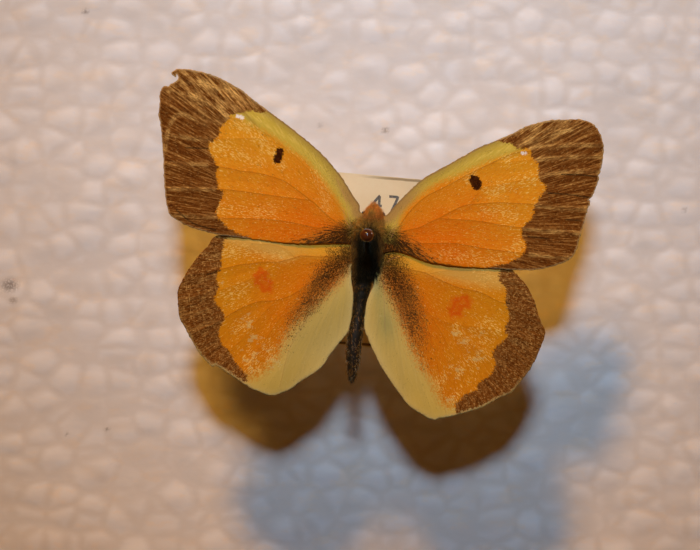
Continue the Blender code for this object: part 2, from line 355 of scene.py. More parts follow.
def makeLights():
    middle = Vector((pinX, wingY, pinZ))
    for name, spec in lights.items():
        data = bpy.data.lights.new(name, "AREA")
        data.energy = spec["power"]
        data.color = spec["colour"]
        data.shape = "DISK"
        data.size = spec["size"]
        data.spread = math.radians(spec["beam"])
        lamp = bpy.data.objects.new(name, data)
        scene.collection.objects.link(lamp)
        lamp.location = middle + Vector(spec["offset"])
        aim = middle + Vector(spec["aim"])
        lamp.rotation_euler = (aim - lamp.location).to_track_quat("-Z", "Y").to_euler()


def makeWorld():
    # a pale backdrop for the camera, and a faint warm glow for everything else
    world = bpy.data.worlds.new("room")
    world.use_nodes = True
    nodes, links = world.node_tree.nodes, world.node_tree.links
    glow = nodes["Background"]
    glow.inputs["Color"].default_value = (*room["glow"], 1)
    glow.inputs["Strength"].default_value = room["glowStrength"]
    seen = nodes.new("ShaderNodeBackground")
    seen.inputs["Color"].default_value = (*room["backdrop"], 1)
    chosen = nodes.new("ShaderNodeMixShader")
    links.new(nodes.new("ShaderNodeLightPath").outputs["Is Camera Ray"], chosen.inputs[0])
    links.new(glow.outputs[0], chosen.inputs[1])
    links.new(seen.outputs[0], chosen.inputs[2])
    links.new(chosen.outputs[0], nodes["World Output"].inputs["Surface"])
    scene.world = world
    scene.view_settings.view_transform = "Standard"


def floorFinish():
    shop = Shop("paleFloor")
    speckle = shop.noise(shop.place((0.06, 0.06, 0.06)), 1.0, 3.0)
    colour = shop.mix(speckle.between(0.3, 0.7), *room["floorPale"])
    seen = shop.node("ShaderNodeLightPath", out="Is Camera Ray")
    return shop.finish(colour=shop.mix(seen, room["floorBounce"], colour), roughness=0.7, specular=0.1)


def makeFloor():
    half = room["floorHalf"]
    corners = [(-half, -half, 0), (half, -half, 0), (half, half, 0), (-half, half, 0)]
    meshObject("floor", corners, [(0, 1, 2, 3)], floorFinish(), False)


makeCamera()
makeLights()
makeWorld()
makeFloor()
print("camera, lights and floor made")


# The wooden frame, board and brads keep their solids

railWood = {
    "light": (0.34, 0.19, 0.085),
    "dark": (0.17, 0.085, 0.035),
    "pore": (0.07, 0.035, 0.018),
    "edgeWear": (0.45, 0.28, 0.14),
}


def woodFinish(name, stretch):
    # grain runs along the axis that is stretched least
    shop = Shop(name)
    place = shop.place(stretch)
    drift = shop.noise(place, 0.06, 2.0)
    bent = shop.node("ShaderNodeVectorMath", {"operation": "ADD"},
                     [place, shop.node("ShaderNodeCombineXYZ", {}, [drift * 14, drift * 9, drift * 11])])
    rings = shop.node("ShaderNodeTexWave", {"wave_type": "BANDS", "bands_direction": "DIAGONAL"},
                      {"Vector": bent, "Scale": 0.16, "Distortion": 3.0, "Detail": 3.0,
                       "Detail Scale": 1.5})
    fine = shop.noise(shop.place(tuple(k * k for k in stretch)), 2.2, 5.0, 0.6)
    pores = shop.noise(shop.place(tuple(0.35 * k ** 1.6 for k in stretch)), 9.0, 2.0).between(0.60, 0.68)
    wear = shop.noise(shop.place(), 0.35, 3.0).between(0.58, 0.75)
    body = shop.layers(railWood["light"], (rings.between(0.1, 0.9), railWood["dark"]),
                       (fine.between(0.35, 0.75) * 0.45, railWood["dark"]),
                       (pores * 0.7, railWood["pore"]), (wear * 0.35, railWood["edgeWear"]))
    height = fine * 0.5 - pores * 0.8 + rings * 0.3
    return shop.finish(colour=body, roughness=fine.between(0.2, 0.8, 0.38, 0.55),
                       normal=shop.bump(height, 0.35, 0.00012), coat=0.15, coatRoughness=0.3)


def boardFinish():
    shop = Shop("hardboard")
    flecks = shop.noise(shop.place(), 1.6, 4.0, 0.7)
    fibres = shop.noise(shop.place((1, 1, 0.25)), 5.0, 3.0, 0.6)
    colour = shop.layers((0.20, 0.115, 0.06), (flecks.between(0.35, 0.7), (0.30, 0.18, 0.10)),
                         (fibres.between(0.55, 0.75) * 0.5, (0.40, 0.26, 0.15)))
    return shop.finish(colour=colour, roughness=0.72, normal=shop.bump(fibres, 0.3, 0.00008))


def steelFinish(name, colour, rough):
    shop = Shop(name)
    scratches = shop.noise(shop.place((1, 0.1, 1)), 9.0, 3.0)
    tone = shop.mix(scratches.between(0.4, 0.7), colour, tuple(0.6 * k for k in colour))
    return shop.finish(colour=tone, roughness=scratches.between(0.3, 0.7, rough, rough + 0.2),
                       metallic=1.0)


def coverNode(name, material):
    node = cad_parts[name]
    node.data.materials.clear()
    node.data.materials.append(material)


woodAcross = woodFinish("railWoodAcross", (0.10, 1, 1))
woodUp = woodFinish("railWoodUp", (1, 1, 0.10))
brightSteel = steelFinish("bradSteel", (0.55, 0.54, 0.52), 0.3)
for sideName, wood in (("top", woodAcross), ("bottom", woodAcross), ("left", woodUp), ("right", woodUp)):
    coverNode("frame_rail_" + sideName, wood)
coverNode("backing_board", boardFinish())
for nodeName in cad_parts:
    if nodeName.startswith("backing_brad"):
        coverNode(nodeName, brightSteel)
print("frame covered")


# The foam panel

foam = {
    "cell": 3.7 * mm,             # across one cell of the face
    "squash": 1.30,               # cells are this much wider than high
    "relief": 0.19 * mm,          # how far the middle of a cell stands forward
    "wander": 0.5 * mm,           # slow waves of the whole face
    "wrinkle": 0.012 * mm,
    "step": 0.32 * mm,            # mesh spacing
    "seed": 4.0,
    "rimFrom": 1.5 * mm,          # from its edge to here the face is flat
    "rimTo": 4.0 * mm,            # and from here on it has its full relief
    "setBack": 0.55 * mm,         # the relief starts this far behind the flat edge
    "dent": 0.5 * mm,             # where the pin goes in
    "dentWidth": 0.6 * mm,
    # small dark marks: mm from the pin, size and strength
    "smudges": [(-42.9, -5.6, 1.2, 0.8), (-33.8, 27.4, 0.45, 0.7), (-5.5, 13.7, 0.4, 0.3),
                (2.4, 13.1, 0.5, 0.6), (38.5, 3.5, 0.4, 0.5), (-36.0, -23.5, 0.3, 0.5),
                (-31.2, -23.0, 0.35, 0.6), (-42.5, -7.4, 0.6, 0.5)],
}


def foamFinish():
    shop = Shop("whiteFoam")
    place = shop.place()
    broad = shop.noise(place, 0.045, 2.0)
    # noise that places the painted warm and cool light tints, and wobbles the painted groove shade
    mottled = shop.noise(shop.place((0.7, 1, 1.3)), 0.36, 3.0, 0.6)
    skin = shop.noise(shop.place((0.8, 1, 1.2)), 0.75, 1.5, 0.45)
    fine = shop.noise(place, 4.0, 2.0, 0.6)
    # painted shade: the foam is darker along the grooves between its raised cells
    seam = (shop.attribute("wall") + mottled.sway(0.20)).near(0.0, 0.26)
    colour = shop.layers((0.84, 0.815, 0.81), (broad.between(0.3, 0.7), (0.79, 0.775, 0.785)),
                         # painted light: warm and cool patches stand for the warm lamp's and the cool front
                         # light's tints on the cells
                         (mottled.between(0.52, 0.70) * 0.58, (0.88, 0.76, 0.64)),
                         (mottled.between(0.48, 0.32) * 0.40, (0.76, 0.79, 0.85)),
                         (seam * 0.36, (0.60, 0.52, 0.44)),
                         (shop.attribute("smudge") * fine.between(0.25, 0.55), (0.16, 0.12, 0.09)))
    return shop.finish(colour=colour, roughness=skin.between(0.3, 0.7, 0.46, 0.58), specular=0.5,
                       normal=shop.bump(skin, 0.2, 0.00015))


class Tree:
    # one Geometry Nodes tree, with named inputs
    def __init__(self, name, **inputs):
        self.tree = bpy.data.node_groups.new(name, "GeometryNodeTree")
        sides = self.tree.interface
        sides.new_socket("Geometry", in_out="INPUT", socket_type="NodeSocketGeometry")
        for label, kind in inputs.items():
            sides.new_socket(label, in_out="INPUT", socket_type="NodeSocket" + kind)
        sides.new_socket("Geometry", in_out="OUTPUT", socket_type="NodeSocketGeometry")
        self.given = self.tree.nodes.new("NodeGroupInput").outputs

    def node(self, kind, links=None, out=0, **settings):
        # one node, and its output of that name or number
        made = self.tree.nodes.new(kind)
        for key, value in settings.items():
            setattr(made, key, value)
        for key, value in (links or {}).items():
            if isinstance(value, bpy.types.NodeSocket):
                self.tree.links.new(value, made.inputs[key])
            else:
                made.inputs[key].default_value = value
        return made.outputs if out is None else made.outputs[out]

    def maths(self, operation, first, second):
        return self.node("ShaderNodeMath", {0: first, 1: second}, operation=operation)

    def vector(self, operation, first, second):
        return self.node("ShaderNodeVectorMath", {0: first, 1: second}, operation=operation)

    def scaled(self, vector, factor):
        return self.node("ShaderNodeVectorMath", {0: vector, "Scale": factor}, operation="SCALE")

    def combined(self, x, y, z):
        return self.node("ShaderNodeCombineXYZ", {0: x, 1: y, 2: z})

    def named(self, label, kind="FLOAT"):
        return self.node("GeometryNodeInputNamedAttribute", {"Name": label}, data_type=kind)

    def stored(self, geometry, label, value, domain):
        return self.node("GeometryNodeStoreNamedAttribute",
                         {"Geometry": geometry, "Name": label, "Value": value},
                         data_type="FLOAT", domain=domain)

    def close(self, geometry):
        # instances made real and the finish put on
        real = self.node("GeometryNodeRealizeInstances", {0: geometry})
        dressed = self.node("GeometryNodeSetMaterial",
                            {"Geometry": real, "Material": self.given["Material"]})
        self.tree.links.new(dressed, self.tree.nodes.new("NodeGroupOutput").inputs[0])
        return self.tree


def runTree(obj, tree, values, name):
    # runs the tree on the object and returns its result as a plain mesh object
    modifier = obj.modifiers.new("grow", "NODES")
    modifier.node_group = tree
    for item in tree.interface.items_tree:
        if item.in_out == "INPUT" and item.name in values:
            modifier[item.identifier] = values[item.name]
    bpy.context.view_layer.update()
    evaluated = obj.evaluated_get(bpy.context.evaluated_depsgraph_get())
    mesh = bpy.data.meshes.new_from_object(evaluated)
    mesh.name = name
    obj.modifiers.remove(modifier)
    made = bpy.data.objects.new(name, mesh)
    scene.collection.objects.link(made)
    return made


def foamTree():
    # raises each cell of the face into a soft pillow, and stores how far each point is from a wall
    tree = Tree("foamCells", Cell="Float", Squash="Float", Relief="Float", Wander="Float",
                Wrinkle="Float", Seed="Float", Material="Material")
    given = tree.given
    place = tree.scaled(tree.node("GeometryNodeInputPosition"), tree.maths("DIVIDE", 1.0, given["Cell"]))
    place = tree.vector("ADD", place, tree.combined(given["Seed"], 0.0, given["Seed"]))
    flat = tree.vector("MULTIPLY", place, tree.combined(1.0, 0.0, given["Squash"]))
    bend = tree.node("ShaderNodeTexNoise", {"Vector": flat, "Scale": 0.7, "Detail": 2.0}, "Color")
    flat = tree.vector("ADD", flat, tree.vector("MULTIPLY", bend, (0.5, 0.0, 0.5)))
    cells = {"Vector": flat, "Scale": 1.0, "Randomness": 0.78}
    wall = tree.node("ShaderNodeTexVoronoi", cells, "Distance", feature="DISTANCE_TO_EDGE")
    soft = tree.node("ShaderNodeTexVoronoi", {**cells, "Smoothness": 0.35}, "Distance",
                     feature="SMOOTH_F1")
    pillow = tree.node("ShaderNodeMapRange", {0: soft, 1: 0.0, 2: 0.75, 3: 1.0, 4: 0.0},
                       interpolation_type="SMOOTHSTEP")
    slow = tree.node("ShaderNodeTexNoise", {"Vector": place, "Scale": 0.22, "Detail": 2.0})
    quick = tree.node("ShaderNodeTexNoise", {"Vector": place, "Scale": 2.4, "Detail": 1.0})
    total = tree.maths("MULTIPLY", pillow, given["Relief"])
    total = tree.maths("ADD", total, tree.maths("MULTIPLY", slow, given["Wander"]))
    total = tree.maths("ADD", total, tree.maths("MULTIPLY", quick, given["Wrinkle"]))
    forward = tree.maths("MULTIPLY", tree.maths("MULTIPLY", total, tree.named("face")), -1.0)
    stored = tree.stored(given["Geometry"], "wall", wall, "POINT")
    return tree.close(tree.node("GeometryNodeSetPosition",
                                {"Geometry": stored, "Offset": tree.combined(0.0, forward, 0.0)}))


def makeFoam():
    # a gridded face, plain sides and a plain back
    low, high = foamLow, foamHigh
    columns = int((high.x - low.x) / foam["step"]) + 1
    rows = int((high.z - low.z) / foam["step"]) + 1
    gridX, gridZ = np.meshgrid(np.linspace(low.x, high.x, columns), np.linspace(low.z, high.z, rows))
    edge = np.minimum(np.minimum(gridX - low.x, high.x - gridX),
                      np.minimum(gridZ - low.z, high.z - gridZ))
    face = ramp(edge, foam["rimFrom"], foam["rimTo"])
    toPin = np.hypot(gridX - pinX, gridZ - pinZ)
    dent = foam["dent"] * np.exp(-(toPin / foam["dentWidth"]) ** 2)
    front = low.y + foam["setBack"] * face + dent
    verts = np.stack([gridX, front, gridZ], -1).reshape(-1, 3)
    faces, border = gridFaces(np.arange(len(verts)).reshape(gridX.shape))
    back = len(verts) + np.arange(len(border))
    rear = verts[border].copy()
    rear[:, 1] = high.y
    verts = np.vstack([verts, rear])
    for k in range(len(border)):
        after = (k + 1) % len(border)
        faces.append((border[after], border[k], back[k], back[after]))
    faces.append(tuple(back))
    plain = meshObject("foamBlank", verts, faces, None, True, 50)
    setAttribute(plain, "face", np.concatenate([face.ravel(), np.zeros(len(rear))]))
    marks = np.zeros(len(verts))
    for x, z, size, strength in foam["smudges"]:
        gap = np.hypot(verts[:, 0] - pinX - x * mm, 1.3 * (verts[:, 2] - pinZ - z * mm)) / mm
        marks = np.maximum(marks, strength * ramp(gap, size * 1.3, size * 0.2))
    setAttribute(plain, "smudge", marks)
    made = runTree(plain, foamTree(), {
        "Cell": foam["cell"], "Squash": foam["squash"], "Relief": foam["relief"],
        "Wander": foam["wander"], "Wrinkle": foam["wrinkle"], "Seed": foam["seed"],
        "Material": foamFinish()}, "foamFace")
    bpy.data.objects.remove(plain, do_unlink=True)
    finishPiece(made, "foam", "foam_panel")


makeFoam()
print("foam made")


# The pin

pin = {
    "point": [(1.8, 1.0), (1.0, 0.75), (0.4, 0.38), (0.0, 0.06)],   # mm from the tip, share of the radius
    "overlap": 0.15 * mm,         # the shaft reaches this far into the head
    "sides": 20,
    "headSides": 32,
    "headRows": 24,
}


def turned(name, profile, sides, material):
    # a closed shape turned round the pin's axis; the profile gives (y, radius)
    verts = []
    for y, radius in profile:
        for k in range(sides):
            angle = 2 * math.pi * k / sides
            verts.append((pinX + radius * math.cos(angle), y, pinZ + radius * math.sin(angle)))
    made = meshObject(name, verts, ringFaces(len(profile), sides), material)
    fixNormals(made)
    made.data.shade_smooth()
    made.data.set_sharp_from_angle(angle=math.radians(50))
    return made


def pinHeadFinish():
    shop = Shop("amberHead")
    swirl = shop.noise(shop.place(), 1.6, 3.0, 0.6, 1.0)
    colour = shop.mix(swirl.between(0.35, 0.7), (0.095, 0.022, 0.005), (0.030, 0.008, 0.004))
    return shop.finish(colour=colour, roughness=0.5, specular=0.1, coat=0.9, coatRoughness=0.05)


def makePin():
    shaft = (pinHigh.x - pinLow.x) / 2
    profile = [(headHigh.y - pin["overlap"], shaft)]
    profile += [(pinHigh.y - fromTip * mm, shaft * share) for fromTip, share in pin["point"]]
    wire = turned("pinShaft", profile, pin["sides"], steelFinish("blackEnamel", (0.05, 0.05, 0.055), 0.3))
    finishPiece(wire, "pin_steel", "insect_pin")
    radius = (headHigh.x - headLow.x) / 2
    dome = []
    for k in range(1, pin["headRows"]):
        angle = math.pi * k / pin["headRows"]
        dome.append((headLow.y + radius - radius * math.cos(angle), radius * math.sin(angle)))
    dome = [point for point in dome if point[0] < headHigh.y]
    finishPiece(turned("pinBall", dome, pin["headSides"], pinHeadFinish()), "pin_head", "pin_head")


makePin()
print("pin made")


# The wings
# Curves are in mm from the pin, x to the right and z up, as seen from the front.

wingSettings = {
    "step": 0.14,                 # mesh spacing, mm
    "thickness": 0.07,
    "veinHeight": 0.040,
    "veinWidth": 0.12,
    "sinewWidth": 0.10,
    "nibble": 0.035,              # how ragged the edge is
    "sag": 0.06,                  # how far the membrane sinks between veins
    "lift": 0.05,                 # rise towards the tips, as the frame has it
    "hindStep": 0.48,             # the hindwings lie this far behind
}

forewingLeft = {
    "name": "forewing_left", "side": -1, "hind": False, "root": (-1.4, 0.8), "axis": (-0.86, 0.5),
    "edge": [(0.2, 2.2), (-0.7, 2.8), (-0.8, 3.6), (-1.5, 4.6), (-3, 7), (-5.2, 9.5), (-7.5, 11.5),
             (-10.8, 14), (-13.2, 15.8), (-14.3, 16.7), (-16.6, 17.9), (-18.8, 18.6), (-20.9, 18.9),
             (-21.6, 18.7), (-22, 18.4), (-21.5, 17.9), (-21.4, 18.3), (-21.2, 17.8), (-21.5, 17.4),
             (-22, 17.2), (-22.3, 16.9), (-22.8, 16.9), (-23.1, 16.6), (-23.3, 15.8), (-23.3, 14.9),
             (-23.4, 13.7), (-23.2, 12.6), (-22.9, 9.2), (-22.8, 6.9), (-22.6, 4), (-22.4, 3.2),
             (-22.1, 2.4), (-21.1, 1.7), (-19.7, 1), (-16.8, 0.2), (-14.3, -0.1), (-12, -0.4),
             (-9.8, -0.7), (-7.5, -0.8), (-2.3, -0.8), (-1.2, -1.2)],
    "costa": (1, 12),             # the stretch of the edge that is the leading edge
    "dark": [(-9.6, 13.4), (-10.3, 13.8), (-11.1, 14.1), (-11.8, 14), (-13.1, 14.2), (-14, 13.9),
             (-15.3, 13.7), (-15.5, 13.2), (-16.4, 12.4), (-16.6, 11.7), (-16.7, 11.2),
             (-17.2, 10.8), (-17.8, 10.4), (-17.6, 9.5), (-17.3, 8.9), (-16.9, 8), (-16.7, 7.7),
             (-16.9, 7.3), (-16.9, 6.6), (-16.7, 5.8), (-16.7, 5.3), (-16.2, 5.1), (-16.2, 4.6),
             (-16.4, 4.1), (-16.6, 3.6), (-16.9, 3), (-16.8, 2.2), (-16.3, 1.6), (-15.8, 1.1),
             (-15.1, 0.7), (-14.5, 0.3), (-13.3, -0.1), (-12.4, -0.8)],
    "darkAround": [(-14, -6), (-30, -6), (-30, 26), (-8, 22)],
    "band": [(-15.6, 13.9), (-14.3, 13.3), (-12.3, 12.3), (-10.3, 11.2), (-8.9, 10.1), (-7.5, 9.2),
             (-5.8, 7.5), (-4.4, 5.8), (-3.2, 4.1), (-2.4, 2.4), (-2, 0)],
    "bandAround": [(4, 0), (2, 12), (-10, 24), (-18, 20)],
    "veins": [
        [(-2.4, 1), (-4.1, 2.1), (-5.3, 3.2), (-6.2, 4), (-7.5, 4.2), (-9.8, 4.5), (-12, 4.8),
         (-14.3, 5.1), (-16.6, 5.3), (-22.5, 5.4)],
        [(-6.2, 4), (-7.5, 5), (-9.2, 6.2), (-10.9, 6.8), (-12.6, 7.2), (-14.3, 7.4), (-17.1, 7.9),
         (-22.7, 8.1)],
        [(-2.4, 0.2), (-4.7, 0.8), (-6.4, 1.1), (-8.6, 1.6), (-10.9, 1.9), (-13.2, 2), (-16.8, 2.1),
         (-22, 2.6)]],
    "finerVeins": [
        [(-2, 2), (-4.4, 5), (-7, 8), (-9.4, 10.2), (-12, 12), (-15.7, 13.6), (-19.7, 15.9)],
        [(-9.4, 10.2), (-12, 11), (-16.5, 11), (-22.8, 11.4)],
        [(-9.2, 6.2), (-9.6, 8.2), (-9.4, 10.2)],
        [(-12, 12), (-14.5, 14.7), (-17, 16.7)], [(-14, 13), (-18, 14.2), (-23, 14.6)]],
    "streaks": [
        [(-12.4, 14.6), (-14.3, 15.7), (-16.2, 16.7), (-19.3, 17.3), (-21.2, 17)],
        [(-15.7, 13.6), (-17.2, 14.9), (-19.7, 15.9), (-22.2, 16.3)],
        [(-17.9, 12.6), (-20, 13.5), (-21.2, 13.7), (-22.2, 12.4), (-22.7, 9.8)],
        [(-17.7, 10.9), (-19.9, 11.1), (-21.8, 11.4)], [(-17.9, 8.1), (-22, 8.2)],
        [(-17.2, 5.3), (-22.2, 5.4)], [(-17.2, 2.2), (-21.5, 2.4)]],
    "spot": [(-10.05, 8.65), (-9.8, 9.15), (-9.75, 9.6)], "spotSize": 0.40,
    "white": [(-14.6, 13.6), (-14.0, 13.4)], "whiteSize": 0.22,
    "rub": [[(-17.4, 10.4), (-14.8, 9.4), (-11.9, 8.4)], [(-16.4, 3.4), (-13.2, 2.7), (-10.8, 2.9)],
            [(-14.6, 13.0), (-12.0, 10.8), (-9.6, 8.2)], [(-5.6, 7.2), (-4.9, 5.2), (-4.5, 3.2)]],
    "cracks": [[(-17.8, 9.9), (-19.2, 9.95), (-20.4, 10.0)], [(-21.4, 3.0), (-19.6, 1.5), (-17, 0.7)]],
    "sinews": [[(-3.4, 6.6), (-2.5, 4.6), (-2.25, 3.6), (-2.05, 2.4), (-1.7, 1.1)],
               [(-2.6, 3.0), (-2.4, 2.0), (-1.9, 1.0)]],
}

forewingRight = {
    "name": "forewing_right", "side": 1, "hind": False, "root": (2.3, 0.6), "axis": (0.93, 0.37),
    "edge": [(1.2, 2.2), (2.2, 2.4), (2.9, 3.1), (3.8, 4.1), (6.1, 6.3), (8.3, 7.6), (10.6, 8.9),
             (12.8, 10.1), (16.2, 11.5), (17.3, 12.1), (18.5, 12.6), (20.7, 13.1), (23.1, 13.2),
             (24.1, 13.2), (25.3, 12.8), (26, 12.1), (26.5, 11.1), (26.7, 10), (26.6, 8.8),
             (26.4, 7.7), (26.25, 7), (26.1, 6.85), (26.15, 6.5), (25.9, 5.7), (25.4, 4.5),
             (25.0, 4.1), (25.2, 3.9), (24.7, 2.4), (24, -0.3), (23.6, -1.6), (23, -2.5),
             (21.8, -3.1), (19.6, -3.7), (17.3, -3.8), (14, -3.6), (10.6, -3.4), (7.2, -2.9),
             (4.9, -2.1), (3.2, -1.7), (1.4, -2.0)],
    "costa": (1, 12),
    "dark": [(13.2, 10.4), (14.5, 10.9), (15.1, 10.8), (15.4, 10.6), (16.2, 10.5), (16.7, 10.1),
             (17.3, 9.9), (18.1, 9.9), (18.6, 9.5), (18.6, 9), (19, 8.5), (19.4, 8.1), (19.4, 7.5),
             (19.3, 6.9), (19.6, 6.3), (20.1, 5.9), (20.2, 5.4), (19.9, 5), (19.6, 4.5), (19.2, 3.8),
             (18.9, 3.2), (18.8, 2.5), (18.5, 1.9), (18, 1.4), (17.6, 1), (17.5, 0.4), (17.6, -0.2),
             (17.9, -0.6), (18, -1.3), (17.7, -1.9), (17.3, -2.3), (16.9, -2.5), (16.1, -2.9),
             (15.1, -3.2), (14.2, -3.4), (13.2, -4)],
    "darkAround": [(14, -8), (32, -8), (32, 20), (12, 16)],
    "band": [(17.6, 9.8), (16.6, 9.4), (15.1, 9), (13.4, 8.4), (11.7, 7.6), (10, 6.9), (8.3, 6.2),
             (6.9, 5.4), (5.5, 4.3), (4.1, 2.8), (3.6, 1), (3.4, -1)],
    "bandAround": [(-2, 0), (0, 10), (10, 16), (18, 14)],
    "veins": [
        [(3.0, 0.3), (4.6, 0.7), (6, 1), (7.2, 1.6), (8.3, 2.1), (9.4, 2.7), (10.6, 3.3), (11.7, 3.6),
         (13.4, 3.7), (15.1, 3.8), (19, 3.6), (21.9, 3.3), (24.9, 3.1)],
        [(8.3, 2), (11.7, 1.8), (13.4, 1.6), (15.1, 1.3), (17.3, 1), (20.7, 0.7), (24.2, 0.3)],
        [(3.0, -0.7), (4.4, -0.8), (7.2, -0.8), (10, -0.8), (11.7, -1.1), (13.4, -1.4), (15.1, -1.6),
         (18.5, -2), (22.8, -2.4)],
        [(3.0, 0.6), (3.6, 1), (4.9, 2.8), (6.6, 4.4), (8.9, 5.6), (11.7, 7.1), (14, 8.2),
         (16.4, 9.3), (19, 9.7), (22, 10.2), (26.5, 10.3)]],
    "finerVeins": [
        [(11.7, 3.6), (12.6, 5), (12.4, 6.4), (11.7, 7.1)], [(12.6, 5.4), (16, 6), (20, 6.8), (26.1, 7.3)],
        [(14, 8.2), (18.7, 8.6), (22.4, 8.9), (26.5, 9)], [(16.4, 9.3), (19.6, 11.2), (23, 12.1)]],
    "streaks": [
        [(18.8, 3.6), (21.9, 3.2), (24.7, 3.1)], [(17.6, 0.8), (20.7, 0.6), (24.1, 0.3)],
        [(18.5, -2), (20.7, -2.3), (22.8, -2.4)], [(18.7, 8.6), (22.4, 8.9), (26.4, 9)],
        [(18.5, 9.9), (21.9, 10.2), (26.4, 10.3)], [(17.3, 10.2), (19.6, 11.2), (23, 12)],
        [(19.6, 6.9), (23, 7.3), (26, 7.3)]],
    "spot": [(12.15, 6.35), (12.45, 6.1), (12.45, 5.7)], "spotSize": 0.56,
    "white": [(17.6, 9.4), (17.95, 9.4)], "whiteSize": 0.17,
    "rub": [[(19.4, 6.6), (16.4, 5.9), (14.0, 5.2)], [(17.2, -0.6), (15.8, -2.2), (13.4, -3.0)],
            [(13.2, 2.8), (16.2, 2.4)], [(8.6, -2.0), (11.8, -2.4)], [(11.7, 6.4), (11.9, 6.9)],
            [(16.0, 8.75), (16.2, 8.85)]],
    "cracks": [[(20.5, 4.9), (23, 4.7), (25.3, 4.35)], [(22.4, 1.9), (24.2, 1.8)],
               [(22.0, 7.0), (24.4, 6.9), (26.1, 6.7)], [(18.2, 0.0), (20.6, -0.3)]],
    "sinews": [[(6.0, 5.3), (4.6, 3.8), (3.8, 2.5), (3.3, 1.0), (2.8, -0.1)],
               [(3.4, 2.6), (3.1, 1.2), (2.6, 0.2)]],
}

